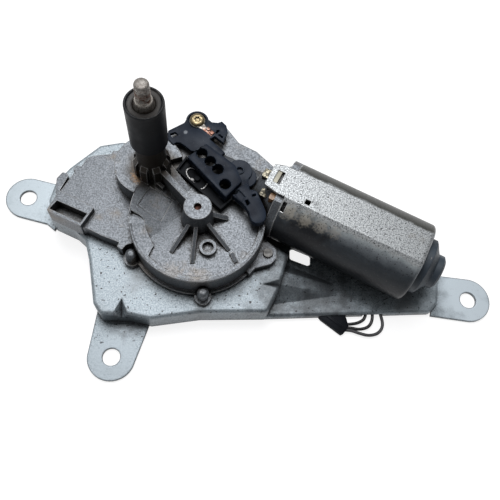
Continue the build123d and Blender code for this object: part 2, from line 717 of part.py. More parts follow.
def make_commutator():
    drum = tube(commutator_r, shaft_r, commutator_start, commutator_end)
    drum += tube(commutator_r + 1.5, shaft_r, commutator_end - 1.5, commutator_end)
    groove = Pos(commutator_start - 1, commutator_r, 0) * Box(2 * commutator_length, 1.2, 0.5)
    return drum - [Rot(k * 360.0 / slot_count, 0, 0) * groove for k in range(slot_count)]


shaft_start = tunnel_start + 2.5
shaft_end = can_rear + bearing_length - 1.5
parts["armature_shaft"] = in_motor(bar(shaft_r, shaft_start, shaft_end))
parts["worm"] = in_motor(make_worm())
parts["lamination_stack"] = in_motor(make_stack())
parts["windings"] = in_motor(make_windings())
parts["commutator"] = in_motor(make_commutator())


# Motor can, magnets, bearings and end boot
rear_cup_r = shaft_r + bush_wall + 2.0
keeper_s = 31.8
keeper_y = 0.2
keeper_length = 2.6
keeper_width = 8.2


def make_can():
    shell = can_length(can_r, can_flat, can_front, can_rear)
    shell = fillet(shell.edges().filter_by(lambda e: e.center().X > can_rear - 0.5), 2.5)
    shell -= can_length(can_inner_r, can_inner_flat, can_front - 1, can_rear - can_wall)
    shell += bar(rear_cup_r, can_rear - can_wall, can_rear + bearing_length)
    shell -= bar(bearing_r, can_rear - can_wall - 1, can_rear + bearing_length - 1.0)
    tongue = [
        (tongue_front, -7.8), (tongue_front, 7.2), (can_front - 8.0, 9.2), (can_front + 1.0, 9.2),
        (can_front + 1.0, -9.7), (can_front - 5.0, -9.7),
    ]
    shell += slab(tongue, can_flat - can_wall, can_flat, 0.9)
    shell -= Pos(keeper_s + 0.9, keeper_y, can_flat) * Box(keeper_length + 1.9, keeper_width + 0.2, 3 * can_wall)
    shell -= Pos(54.3, -6.8, can_flat) * Box(3.2, 3.2, 3 * can_wall)
    shell -= Pos(can_front + 1.8, -14.5, can_flat - 4.0) * Box(2.4, 5.0, 8.0)
    for side in (-1, 1):
        hole = extrude(Circle(can_screw_r + screw_clearance), 2 * can_wall)
        shell -= Pos(can_screw_s, side * can_screw_side, -can_r) * hole
    return shell


def magnet(side):
    ring = tube(can_inner_r - 0.05, magnet_inner_r, stack_start - 6.0, stack_end + 6.0)
    reach = 2 * can_r
    edge = reach * sin(radians(magnet_half_angle)) / cos(radians(magnet_half_angle))
    wedge = make_face(Polyline((0, 0), (side * reach, edge), (side * reach, -edge), close=True))
    return ring & (Pos(stack_start - 10, 0, 0) * extrude(Plane.YZ * wedge, stack_length + 20))


def bearing(start, end):
    return tube(bearing_r, shaft_r + running, start, end)


def make_boot():
    start = can_rear
    end = can_rear + boot_length
    inner = rear_cup_r
    cup_end = can_rear + bearing_length
    profile = [
        (start, inner), (start, boot_r - 0.6), (start + 0.6, boot_r), (start + 4.5, boot_r),
        (start + 5.5, boot_r - 1.2), (start + 7.0, boot_nose_r + 3.0), (start + 9.0, boot_nose_r),
        (end - 1.5, boot_nose_r), (end, boot_nose_r - 2.0), (end, 0), (cup_end, 0), (cup_end, inner),
    ]
    return revolve(make_face(Polyline(*profile, close=True)), Axis.X)


parts["motor_can"] = in_motor(make_can())
parts["magnets"] = Compound(children=[in_motor(magnet(1)), in_motor(magnet(-1))])
parts["nose_bearing"] = in_motor(bearing(tunnel_start + 2.0, -worm_length / 2 - 1.3))
parts["front_bearing"] = in_motor(bearing(can_front - 11.0, can_front))
parts["rear_bearing"] = in_motor(bearing(can_rear - can_wall, shaft_end + 0.3))
parts["end_boot"] = in_motor(make_boot())


# Brush gear in the can's mouth
holder_wall = 1.2
carrier_thickness = 2.5
brush_s = commutator_start + 5.0


def make_brush_carrier():
    ring = can_length(can_inner_r - 0.05, can_inner_flat - 0.05, carrier_start, carrier_start + carrier_thickness)
    ring -= bar(commutator_r + 1.5, carrier_start - 1, carrier_start + carrier_thickness + 1)
    for side in (-1, 1):
        middle = commutator_r + 1.0 + (can_inner_flat - commutator_r - 1.0) / 2
        tall = can_inner_flat - commutator_r - 1.5
        length = brush_s + brush_width / 2 + holder_wall - carrier_start
        box = Box(length, brush_width + 2 * holder_wall, tall)
        ring += Pos(carrier_start + length / 2, 0, side * middle) * box
        ring -= Pos(brush_s, 0, side * middle) * Box(brush_width + 0.2, brush_width + 0.2, 2 * tall)
    return ring


def brush(side):
    block = Pos(brush_s, 0, side * (commutator_r + brush_length / 2 - 0.5))
    body = block * Box(brush_width, brush_width, brush_length)
    return body - bar(commutator_r + brush_gap, brush_s - 10, brush_s + 10)


def brush_spring(side):
    low = commutator_r + brush_length - 0.5
    high = can_inner_flat - 0.05
    coil = Pos(brush_s, 0, side * (low + high) / 2)
    return coil * (Cylinder(1.8, high - low) - Cylinder(1.1, high - low + 1))


parts["brush_carrier"] = in_motor(make_brush_carrier())
parts["brushes"] = Compound(children=[in_motor(brush(1)), in_motor(brush(-1))])
parts["brush_springs"] = Compound(children=[in_motor(brush_spring(1)), in_motor(brush_spring(-1))])

# Contact plate on top of the gearbox, with its frame, spring clip, terminals and screw
contact_top = contact_low + 2.6
arm_bar_top = contact_top + 1.8
tongue_top = 10.0
tongue_origin = (-6.7, 36.0)
tongue_angle = -49.6
tongue_holes = [(1.9, 38.8), (7.0, 33.1), (11.7, 27.8), (15.8, 18.0)]
tongue_hole_r = 3.2
lobe_place = (24.8, 29.9)
lobe_r = 7.6
lobe_step = (28.3, 25.6)
arm_end = (35.8, -1.6)
arm_end_r = 4.4
frame_wall = 1.2
wire_r = 0.45


def tongue_point(a, b):
    ca, sa = cos(radians(tongue_angle)), sin(radians(tongue_angle))
    return (tongue_origin[0] + a * ca - b * sa, tongue_origin[1] + a * sa + b * ca)


def make_contact_plate():
    base = [
        (-19.1, 58.1), (-8.1, 64.3), (-4.0, 60.0), (6.0, 62.0), (8.6, 64.9), (14.2, 65.4), (17.4, 61.8),
        (18.0, 56.4), (12.5, 49.5), (7.0, 47.0), (-4.0, 37.0), (-13.0, 46.0), (-17.0, 50.5),
    ]
    plate = slab(base, contact_low, contact_top)
    plate += post(7.2, plate_screw_place[0], plate_screw_place[1], contact_low - 3.6, contact_top)
    tongue = [(0, 0), (35, 0), (33, 14.6), (22.6, 18.5), (0, 14.8)]
    plate += slab([tongue_point(a, b) for a, b in tongue], contact_low, tongue_top, 0.8)
    plate += post(lobe_r, lobe_place[0], lobe_place[1], contact_low, contact_top)
    plate += post(6.8, lobe_step[0], lobe_step[1], contact_low, contact_low + 1.4)
    plate += post(2.7, lobe_place[0], lobe_place[1] - 1.0, contact_top - 1, contact_top + 0.8)
    arm = [
        (31.9, 29.4), (29.8, 22.5), (30.2, 18.0), (34.8, 12.5), (35.8, 8.3), (39.4, 1.7), (37.0, -2.0),
        (29.0, 0.0), (27.5, 4.8), (20.1, 12.6), (22.0, 17.0), (20.0, 27.0),
    ]
    plate += slab(arm, contact_low, contact_top)
    bar_outline = [
        (23.4, 15.5), (20.0, 12.1), (27.7, 4.3), (31.8, -1.0), (36.0, -3.0), (39.2, -0.6), (38.5, 2.0), (32.3, 7.7),
    ]
    plate += slab(bar_outline, contact_low, arm_bar_top, 0.6)
    plate += post(arm_end_r, arm_end[0], arm_end[1], back_top, arm_bar_top)
    plate += slab([(31.0, 11.9), (33.4, 13.7), (35.3, 11.0), (32.6, 9.2)], contact_low, arm_bar_top)
    plate -= slab([(32.2, 11.6), (33.3, 12.4), (34.1, 11.2), (32.9, 10.4)], contact_top - 1, arm_bar_top + 1)
    plate -= slab([(27.5, 8.3), (29.8, 10.0), (31.2, 7.5), (28.6, 5.8)], contact_low + 0.8, arm_bar_top + 1)
    for x, y in tongue_holes:
        plate -= post(tongue_hole_r, x, y, contact_low - 1, tongue_top + 1)
    plate -= post(1.9, lobe_place[0], lobe_place[1] - 1.0, contact_top - 1.5, contact_top + 1)
    plate -= in_motor(neck(0.3))
    plate -= in_motor(can_length(can_r + 0.3, can_flat + 0.3, flange_front - 0.3, can_front))
    x, y = plate_screw_place
    plate -= post(plate_screw_r + screw_clearance, x, y, back_top - 1, contact_top + 1)
    return plate


def make_contact_frame():
    outline = [(-13.4, 30.8), (-7.4, 40.2), (20.8, 11.9), (13.3, 4.6)]
    outer = slab(outline, back_top, contact_low)
    room = offset(make_face(Polyline(*outline, close=True)), -frame_wall, kind=Kind.INTERSECTION)
    frame = outer - Pos(0, 0, back_top + 0.8) * extrude(room, contact_low)
    frame += post(1.5, -0.6, 25.4, back_top + 0.4, back_top + 2.8)
    return frame


def make_spring_clip():
    level = back_top + 0.8 + wire_r
    points = [(0.0, 29.9), (-3.6, 33.0), (-5.6, 30.2), (-4.1, 27.0), (-1.5, 22.8), (1.9, 19.5), (4.9, 20.2), (7.1, 23.5)]
    path = FilletPolyline(*[(x, y, level) for x, y in points], radius=1.0)
    return sweep(Plane(origin=path @ 0, z_dir=path % 0) * Rectangle(1.8 * wire_r, 1.8 * wire_r), path)


parts["contact_plate"] = make_contact_plate()
parts["contact_frame"] = make_contact_frame()
parts["spring_clip"] = make_spring_clip()
screw_x, screw_y = plate_screw_place
plate_screw = post(3.7, screw_x, screw_y, contact_top, contact_top + 2.0)
plate_screw = chamfer(plate_screw.edges().sort_by(Axis.Z)[-1], 0.6)
parts["plate_screw"] = plate_screw + post(plate_screw_r, screw_x, screw_y, back_top - screw_reach + 0.5, contact_top)
strip_angle = direction((3.1, 57.9), (8.6, 52.6))
terminal = Pos(5.9, 55.2, contact_top + 0.4) * Rot(0, 0, strip_angle) * Box(8.0, 2.4, 0.8)
parts["terminal_strip"] = terminal
keeper = Pos(keeper_s, keeper_y, can_flat - can_wall / 2 - 0.2) * Box(keeper_length, keeper_width, can_wall - 0.4)
parts["terminal_insulator"] = in_motor(keeper)


def on_neck(s, y, length, width, low, high):
    """A rounded block that sits on the neck under the can's tongue."""
    block = fillet((Pos(s, y, 0) * Box(length, width, 2 * high)).edges().filter_by(Axis.Z), 1.0)
    return in_motor(block & (Pos(s, y, (low + high) / 2) * Box(20, 20, high - low))) - in_motor(neck(block_clearance))


parts["brush_terminals"] = Compound(children=[
    on_neck(24.3, 3.4, 4.6, 6.0, 8.0, 15.0), on_neck(28.4, -8.6, 5.0, 5.2, 8.0, 14.1),
])
parts["suppressor"] = on_neck(34.2, -11.2, 3.3, 4.4, 12.0, 19.2)

# Leads from the motor's underside to the connector at the bracket's front edge
connector_low = ear_bottom + 0.2
connector_top = connector_low + connector_height
lead_level = ear_bottom + 1.8
lead_courses = {
    "lead_a": [(88.0, -55.4), (99.0, -54.4), (105.9, -49.5), (105.4, -36.0), (104.2, -16.0)],
    "lead_b": [(88.0, -58.6), (102.0, -57.9), (109.2, -50.0), (108.2, -36.0), (106.7, -16.0)],
    "lead_c": [
        (88.0, -61.2), (94.5, -61.6), (102.4, -62.8), (110.2, -61.2), (114.2, -55.9), (112.6, -48.0),
        (111.0, -36.0), (109.2, -16.0),
    ],
}


def bend_radii(points):
    """The largest bend that the two runs at each corner leave room for."""
    radii = []
    for before, corner, after in zip(points, points[1:], points[2:]):
        into = Vector(corner[0] - before[0], corner[1] - before[1], 0)
        out = Vector(after[0] - corner[0], after[1] - corner[1], 0)
        half_turn = radians(into.get_angle(out)) / 2
        radii.append(0.45 * min(into.length, out.length) * cos(half_turn) / sin(half_turn))
    return radii


def lead_tube(points, radius):
    """A lead along straight runs joined by bends."""
    path = FilletPolyline(*[(x, y, lead_level) for x, y in points], radius=bend_radii(points))
    return sweep(Plane(origin=path @ 0, z_dir=path % 0) * RegularPolygon(radius, lead_sides), path)


def make_connector():
    lean = (skirt_end[1] - skirt_start[1]) / (skirt_end[0] - skirt_start[0])
    back = [(x, skirt_start[1] + lean * (x - skirt_start[0])) for x in (91.5, 69.5)]
    body = slab(back + [(69.5, -53.5), (84.3, -62.0), (87.8, -64.6), (92.6, -58.0)], connector_low, connector_top)
    body += slab([(74.0, -51.0), (86.0, -51.0), (86.0, -57.0), (78.0, -57.0)], connector_top - 0.5, connector_top + 1.5)
    for points in lead_courses.values():
        body -= lead_tube(points, lead_r + screw_clearance)
    return body


def make_grommet():
    x, y = grommet_place
    body = slab([(102.2, -21.0), (111.4, -21.0), (111.4, -7.5), (102.2, -7.5)], ear_bottom + 0.3, arm_top - sheet, 1.5)
    body += post(grommet_neck_r, x, y, arm_top - sheet, shaft_level - can_flat)
    for points in lead_courses.values():
        body -= lead_tube(points, lead_r + screw_clearance)
    return body


for name, points in lead_courses.items():
    parts[name] = lead_tube(points, lead_r)
    print(name, "bends", [round(value, 1) for value in bend_radii(points)])
parts["connector_block"] = make_connector()
parts["lead_grommet"] = make_grommet()


def save():
    os.makedirs("parts", exist_ok=True)
    for name, shape in parts.items():
        export_step(to_part_frame * shape, "parts/" + name + ".step")
        print(name, len(shape.solids()), "solid", round(shape.volume, 1), "mm3")


save()
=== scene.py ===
# %% [markdown]
# # A rear wiper motor, from its CAD frame to a finished picture
# The CAD model already holds every piece in its true place and size. This script loads it as a fixed
# frame, sets up a camera and a small studio, makes the finishes, and models the small pieces that
# CAD leaves plain. Lengths are in metres, and +Z runs up along the wiper spindle.

# %% Load the frame
import bmesh
import bpy
from math import cos, pi, radians, sin
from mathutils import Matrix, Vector


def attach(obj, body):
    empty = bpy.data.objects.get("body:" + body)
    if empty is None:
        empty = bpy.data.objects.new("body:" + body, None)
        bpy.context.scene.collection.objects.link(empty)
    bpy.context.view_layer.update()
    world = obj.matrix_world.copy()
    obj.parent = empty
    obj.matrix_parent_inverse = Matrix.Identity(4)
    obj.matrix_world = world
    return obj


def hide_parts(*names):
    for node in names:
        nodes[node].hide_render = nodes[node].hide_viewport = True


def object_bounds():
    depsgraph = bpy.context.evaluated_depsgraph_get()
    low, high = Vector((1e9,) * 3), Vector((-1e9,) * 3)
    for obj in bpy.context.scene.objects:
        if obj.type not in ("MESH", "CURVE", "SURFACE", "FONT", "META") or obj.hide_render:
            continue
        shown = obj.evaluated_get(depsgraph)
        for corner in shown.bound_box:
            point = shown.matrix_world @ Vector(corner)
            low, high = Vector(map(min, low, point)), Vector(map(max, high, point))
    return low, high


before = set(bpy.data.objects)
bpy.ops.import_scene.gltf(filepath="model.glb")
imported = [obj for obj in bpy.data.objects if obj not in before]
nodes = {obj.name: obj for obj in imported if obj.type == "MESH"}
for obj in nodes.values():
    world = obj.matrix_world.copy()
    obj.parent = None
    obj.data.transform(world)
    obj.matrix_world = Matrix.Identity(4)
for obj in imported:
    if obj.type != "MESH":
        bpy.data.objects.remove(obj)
cad_low, cad_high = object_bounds()
mm = 0.001
print("CAD nodes:", len(nodes))

# %% [markdown]
# ## Camera
# The place and angle were fitted to outlines in the photograph: the gearbox's round rim, the rubber
# sleeve, the can and the three ear holes. The lens was picked, and the rim's radius was set at 40 mm,
# which fixes the scale. The camera looks down at about 67 degrees.

# %% Place the camera
camera_data = bpy.data.cameras.new("camera")
camera_data.lens = 43.2
camera_data.sensor_width = 36.0
camera = bpy.data.objects.new("camera", camera_data)
camera.location = (0.03009, -0.18277, 0.24875)
camera.rotation_euler = (radians(22.470), radians(-4.412), radians(-1.131))
bpy.context.scene.collection.objects.link(camera)
bpy.context.scene.camera = camera
print("camera height over the ears:", round(camera.location.z - cad_low[2], 3))

# %% [markdown]
# ## Studio
# The world gives a weak, even light, so that shadows keep some depth. A Light Path node tells what kind
# of ray asks for the colour: the camera sees the world as white, and every other ray sees it dim.

# %% World
scene = bpy.context.scene
scene.view_settings.view_transform = "Standard"
sky_light = 0.12
sky_seen = 1.0

world = bpy.data.worlds.new("studio")
scene.world = world
world.use_nodes = True
sky = world.node_tree
background = sky.nodes["Background"]
background.inputs["Color"].default_value = (1.0, 1.0, 1.0, 1.0)
brightness = sky.nodes.new("ShaderNodeMapRange")
brightness.inputs["To Min"].default_value = sky_light
brightness.inputs["To Max"].default_value = sky_seen
rays = sky.nodes.new("ShaderNodeLightPath")
sky.links.new(rays.outputs["Is Camera Ray"], brightness.inputs["Value"])
sky.links.new(brightness.outputs["Result"], background.inputs["Strength"])
print("world light:", sky_light)

# %% [markdown]
# The floor is a pale card that takes the shadow. It glows a little, but only to rays that look at it:
# from the camera, from a mirror or through glass. So it reads as white without lighting the motor.

# %% Floor
floor_glow = 0.84
floor_half_width = 2.5
floor_gap = 0.0002


def seen_directly(tree):
    """A value that is 1 for camera, mirror and see-through rays, and 0 for the light itself."""
    path = tree.nodes.new("ShaderNodeLightPath")
    value = path.outputs["Is Camera Ray"]
    for label in ("Is Glossy Ray", "Is Transmission Ray"):
        both = tree.nodes.new("ShaderNodeMath")
        both.operation = "MAXIMUM"
        tree.links.new(value, both.inputs[0])
        tree.links.new(path.outputs[label], both.inputs[1])
        value = both.outputs[0]
    return value


def floor_material():
    """Pale card that also glows to the rays that see it directly."""
    material = bpy.data.materials.new("pale_card")
    material.use_nodes = True
    tree = material.node_tree
    shader = tree.nodes["Principled BSDF"]
    shader.inputs["Base Color"].default_value = (0.28, 0.28, 0.29, 1.0)
    shader.inputs["Roughness"].default_value = 0.9
    glow = tree.nodes.new("ShaderNodeEmission")
    glow.inputs["Color"].default_value = (1.0, 1.0, 1.0, 1.0)
    scale = tree.nodes.new("ShaderNodeMath")
    scale.operation = "MULTIPLY"
    scale.inputs[1].default_value = floor_glow
    add = tree.nodes.new("ShaderNodeAddShader")
    tree.links.new(seen_directly(tree), scale.inputs[0])
    tree.links.new(scale.outputs[0], glow.inputs["Strength"])
    tree.links.new(shader.outputs[0], add.inputs[0])
    tree.links.new(glow.outputs[0], add.inputs[1])
    tree.links.new(add.outputs[0], tree.nodes["Material Output"].inputs["Surface"])
    return material


floor_mesh = bpy.data.meshes.new("floor")
bm = bmesh.new()
bmesh.ops.create_grid(bm, x_segments=1, y_segments=1, size=floor_half_width)
bmesh.ops.translate(bm, verts=bm.verts, vec=(0.0, 0.0, cad_low[2] - floor_gap))
bm.to_mesh(floor_mesh)
bm.free()
floor = bpy.data.objects.new("floor", floor_mesh)
floor_mesh.materials.append(floor_material())
scene.collection.objects.link(floor)
print("floor height:", round(cad_low[2] - floor_gap, 4))

# %% [markdown]
# One broad lamp stands above and behind the motor, as a window would, so that upward faces are bright
# and the faces towards the camera fall into shade. A weak lamp in front opens the shadows.

# %% Lamps


def lamp(name, place, target, size, power):
    """A square lamp that points at a target."""
    data = bpy.data.lights.new(name, "AREA")
    data.size = size
    data.energy = power
    light = bpy.data.objects.new(name, data)
    light.location = place
    light.rotation_euler = (Vector(target) - Vector(place)).to_track_quat("-Z", "Y").to_euler()
    scene.collection.objects.link(light)
    return light


middle = (0.02, -0.02, -0.07)
window = lamp("window", (0.0, 0.38, 0.92), middle, 0.65, 11.0)
front_fill = lamp("front_fill", (-0.7, 0.0, 0.6), middle, 0.7, 1.0)
print("lamps:", window.name, "and", front_fill.name)

# %% [markdown]
# ## Shared shader groups
# Most of these finishes differ only in colour and amount: two tones that drift across a face, small
# dark specks, wider stains, a fine grain, and edges that are rubbed bright on some finishes and carry a
# painted highlight or painted shade on others. Each effect is a node group with named sockets, so that
# every material can place it with its own values.

# %% Helpers for node groups


def new_group(name, inputs, outputs):
    """An empty shader group with its sockets. inputs maps a name to (type, default)."""
    group = bpy.data.node_groups.new(name, "ShaderNodeTree")
    for label, (kind, default) in inputs.items():
        socket = group.interface.new_socket(name=label, in_out="INPUT", socket_type="NodeSocket" + kind)
        if default is not None:
            socket.default_value = default
    for label, kind in outputs.items():
        group.interface.new_socket(name=label, in_out="OUTPUT", socket_type="NodeSocket" + kind)
    source = group.nodes.new("NodeGroupInput")
    sink = group.nodes.new("NodeGroupOutput")
    return group, source, sink


def add_node(tree, kind, **values):
    """A node, with attributes set from the keyword values."""
    node = tree.nodes.new("ShaderNode" + kind)
    for key, value in values.items():
        setattr(node, key, value)
    return node


def feed(tree, socket, value):
    """Put a number, a colour or another node's output into a socket."""
    if isinstance(value, (int, float)):
        socket.default_value = value
    elif isinstance(value, tuple):
        socket.default_value = (*value, 1.0)
    else:
        tree.links.new(value, socket)


def math_node(tree, operation, first, second):
    """A Math node of two values, each a number or a socket."""
    node = add_node(tree, "Math", operation=operation)
    feed(tree, node.inputs[0], first)
    feed(tree, node.inputs[1], second)
    return node.outputs[0]


def mix_colour(tree, factor, first, second):
    """A colour mix. Each colour is a tuple or a socket."""
    node = add_node(tree, "Mix", data_type="RGBA")
    factor_input, first_input, second_input = node.inputs[0], node.inputs[6], node.inputs[7]
    feed(tree, factor_input, factor)
    feed(tree, first_input, first)
    feed(tree, second_input, second)
    return node.outputs[2]


# %% [markdown]
# Dirt has no straight borders. Two helpers draw them: one gives noise about zero that is added to a
# measure, such as a height or a distance, and the other turns the measure into a mask with a soft border.

# %% Helpers for ragged borders


def raggedness(tree, place, scale, detail, amount):
    """Noise about zero, spread over a range of about the given amount."""
    noise = add_node(tree, "TexNoise")
    noise.inputs["Scale"].default_value = scale
    noise.inputs["Detail"].default_value = detail
    tree.links.new(place, noise.inputs["Vector"])
    return math_node(tree, "MULTIPLY", math_node(tree, "SUBTRACT", noise.outputs["Fac"], 0.5), amount)


def border(tree, measure, clean, full):
    """A mask that rises smoothly from 0 where the measure is at clean to 1 where it is at full."""
    fade = add_node(tree, "MapRange", interpolation_type="SMOOTHSTEP")
    feed(tree, fade.inputs["Value"], measure)
    feed(tree, fade.inputs["From Min"], clean)
    feed(tree, fade.inputs["From Max"], full)
    return fade.outputs["Result"]


# %% [markdown]
# The patches group is the base of specks and stains. Noise is cut at a level: a high level leaves few
# patches and a low one many. A soft edge makes a stain, and a hard edge makes a speck.

# %% Patches group
patches, source, sink = new_group(
    "patches",
    {
        "Vector": ("Vector", None), "Scale": ("Float", 100.0),
        "Level": ("Float", 0.6), "Softness": ("Float", 0.05),
    },
    {"Mask": "Float"},
)
noise = add_node(patches, "TexNoise")
noise.inputs["Detail"].default_value = 4.0
patches.links.new(source.outputs["Vector"], noise.inputs["Vector"])
patches.links.new(source.outputs["Scale"], noise.inputs["Scale"])
low = math_node(patches, "SUBTRACT", source.outputs["Level"], source.outputs["Softness"])
high = math_node(patches, "ADD", source.outputs["Level"], source.outputs["Softness"])
patches.links.new(border(patches, noise.outputs["Fac"], low, high), sink.inputs["Mask"])
print("group:", patches.name)

# %% [markdown]
# The grain group gives a height: fine sand-like noise with a coarser wave under it. Castings and
# moulded plastic have it, and it breaks up reflections on sheet metal.

# %% Grain group
coarse_share = 0.17
coarse_height = 0.4
grain, source, sink = new_group(
    "grain",
    {"Vector": ("Vector", None), "Scale": ("Float", 1500.0)},
    {"Height": "Float"},
)
fine = add_node(grain, "TexNoise")
fine.inputs["Detail"].default_value = 3.0
coarse = add_node(grain, "TexNoise")
coarse.inputs["Detail"].default_value = 2.0
grain.links.new(source.outputs["Vector"], fine.inputs["Vector"])
grain.links.new(source.outputs["Vector"], coarse.inputs["Vector"])
grain.links.new(source.outputs["Scale"], fine.inputs["Scale"])
wide = math_node(grain, "MULTIPLY", source.outputs["Scale"], coarse_share)
grain.links.new(wide, coarse.inputs["Scale"])
swell = math_node(grain, "MULTIPLY", coarse.outputs["Fac"], coarse_height)
grain.links.new(math_node(grain, "ADD", fine.outputs["Fac"], swell), sink.inputs["Height"])
print("group:", grain.name)

# %% [markdown]
# The edges group compares the true surface direction with one rounded over a small radius. They
# differ only along edges, so the difference is a mask of the edges. The rounded direction is passed
# on too, and softens the hard CAD edges as a real casting or pressing is softened.

# %% Edges group
face_match = 0.995
edge_match = 0.86
edges, source, sink = new_group(
    "edges",
    {"Radius": ("Float", 0.0005)},
    {"Mask": "Float", "Normal": "Vector"},
)
rounded = add_node(edges, "Bevel", samples=6)
edges.links.new(source.outputs["Radius"], rounded.inputs["Radius"])
true_face = add_node(edges, "NewGeometry")
compare = add_node(edges, "VectorMath", operation="DOT_PRODUCT")
edges.links.new(rounded.outputs["Normal"], compare.inputs[0])
edges.links.new(true_face.outputs["Normal"], compare.inputs[1])
spread = add_node(edges, "MapRange")
spread.inputs["From Min"].default_value = face_match
spread.inputs["From Max"].default_value = edge_match
edges.links.new(compare.outputs["Value"], spread.inputs["Value"])
edges.links.new(spread.outputs["Result"], sink.inputs["Mask"])
edges.links.new(rounded.outputs["Normal"], sink.inputs["Normal"])
print("group:", edges.name)

# %% [markdown]
# The film group is the dirt that gathers where wipes don't reach, close to the spindle's axis. That is
# the part's own Z axis, so the distance from it is the length of the point's X and Y. Noise pushes the
# film's border in and out.

# %% Film group
film_wander = 0.008
film, source, sink = new_group(
    "film",
    {"Vector": ("Vector", None), "Clean": ("Float", 0.02), "Soiled": ("Float", 0.01)},
    {"Mask": "Float"},
)
flat = add_node(film, "VectorMath", operation="MULTIPLY")
flat.inputs[1].default_value = (1.0, 1.0, 0.0)
film.links.new(source.outputs["Vector"], flat.inputs[0])
away = add_node(film, "VectorMath", operation="LENGTH")
film.links.new(flat.outputs[0], away.inputs[0])
swing = raggedness(film, source.outputs["Vector"], 130.0, 5.0, film_wander)
radius = math_node(film, "ADD", away.outputs["Value"], swing)
mask = border(film, radius, source.outputs["Clean"], source.outputs["Soiled"])
film.links.new(mask, sink.inputs["Mask"])
print("group:", film.name)

# %% [markdown]
# Grime also settles in every corner, and shade falls there. The crevice group looks how open the surface
# is nearby: a deep corner is dark, partly as dirt and partly as painted shade, and an open face is clean.
# With a long reach it gives the wider painted shade under and beside other parts. Noise breaks the line up.

# %% Crevice group
crumb_amount = 0.7
crevice, source, sink = new_group(
    "crevice",
    {
        "Vector": ("Vector", None), "Reach": ("Float", 0.003), "Amount": ("Float", 0.8),
        "Clean": ("Float", 0.82), "Full": ("Float", 0.35),
    },
    {"Mask": "Float"},
)
corner = add_node(crevice, "AmbientOcclusion", samples=5)
crevice.links.new(source.outputs["Reach"], corner.inputs["Distance"])
crumbs = raggedness(crevice, source.outputs["Vector"], 600.0, 3.0, crumb_amount)
openness = math_node(crevice, "ADD", corner.outputs["AO"], crumbs)
shut = border(crevice, openness, source.outputs["Clean"], source.outputs["Full"])
crevice.links.new(math_node(crevice, "MULTIPLY", shut, source.outputs["Amount"]), sink.inputs["Mask"])
print("group:", crevice.name)

# %% [markdown]
# ## Finishes
# Some dirt has its own place on the motor, and so do some painted shade and painted highlights. Three
# helpers lay them on: ragged round blotches, bands that change with the height, and a soiled side beyond a
# slanted line.

# %% Helpers for dirt with a place


def place_group(tree, place, group, **values):
    """A group node on the surface's own coordinates, with some of its inputs set."""
    node = tree.nodes.new("ShaderNodeGroup")
    node.node_tree = group
    for key, value in values.items():
        node.inputs[key].default_value = value
    if "Vector" in node.inputs:
        tree.links.new(place, node.inputs["Vector"])
    return node


def blotches(tree, place, colour, marks):
    """Ragged round patches of another colour. A mark is (centre, reach, colour, amount)."""
    core_share, wander_share, lumps_across = 0.3, 1.6, 3.4
    for centre, reach, tint, amount in marks:
        apart = add_node(tree, "VectorMath", operation="DISTANCE")
        apart.inputs[1].default_value = centre
        tree.links.new(place, apart.inputs[0])
        wander = raggedness(tree, place, lumps_across / reach, 6.0, reach * wander_share)
        distance = math_node(tree, "ADD", apart.outputs["Value"], wander)
        mask = border(tree, distance, reach, reach * core_share)
        colour = mix_colour(tree, math_node(tree, "MULTIPLY", mask, amount), colour, tint)
    return colour


def banded(tree, place, colour, bands):
    """Colours that follow the height. A band is (height, colour, amount), from low to high."""
    low, high = bands[0][0], bands[-1][0]
    split = add_node(tree, "SeparateXYZ")
    tree.links.new(place, split.inputs[0])
    swing = raggedness(tree, place, 160.0, 5.0, 0.004)
    share = add_node(tree, "MapRange")
    share.inputs["From Min"].default_value = low
    share.inputs["From Max"].default_value = high
    tree.links.new(math_node(tree, "ADD", split.outputs["Z"], swing), share.inputs["Value"])
    ramp = add_node(tree, "ValToRGB")
    stops = ramp.color_ramp.elements
    for _ in bands[2:]:
        stops.new(0.5)
    for stop, (level, tint, amount) in zip(stops, bands):
        stop.position = (level - low) / (high - low)
        stop.color = (*tint, amount)
    tree.links.new(share.outputs["Result"], ramp.inputs["Fac"])
    return mix_colour(tree, ramp.outputs["Alpha"], colour, ramp.outputs["Color"])


def soiled_side(tree, place, colour, side):
    """One side of a slanted line in another colour: (across, clean, soiled, colour, amount)."""
    across, clean, soiled, tint, amount = side
    lean = add_node(tree, "VectorMath", operation="DOT_PRODUCT")
    lean.inputs[1].default_value = across
    tree.links.new(place, lean.inputs[0])
    wander = raggedness(tree, place, 110.0, 6.0, 0.005)
    mask = border(tree, math_node(tree, "ADD", lean.outputs["Value"], wander), clean, soiled)
    return mix_colour(tree, math_node(tree, "MULTIPLY", mask, amount), colour, tint)
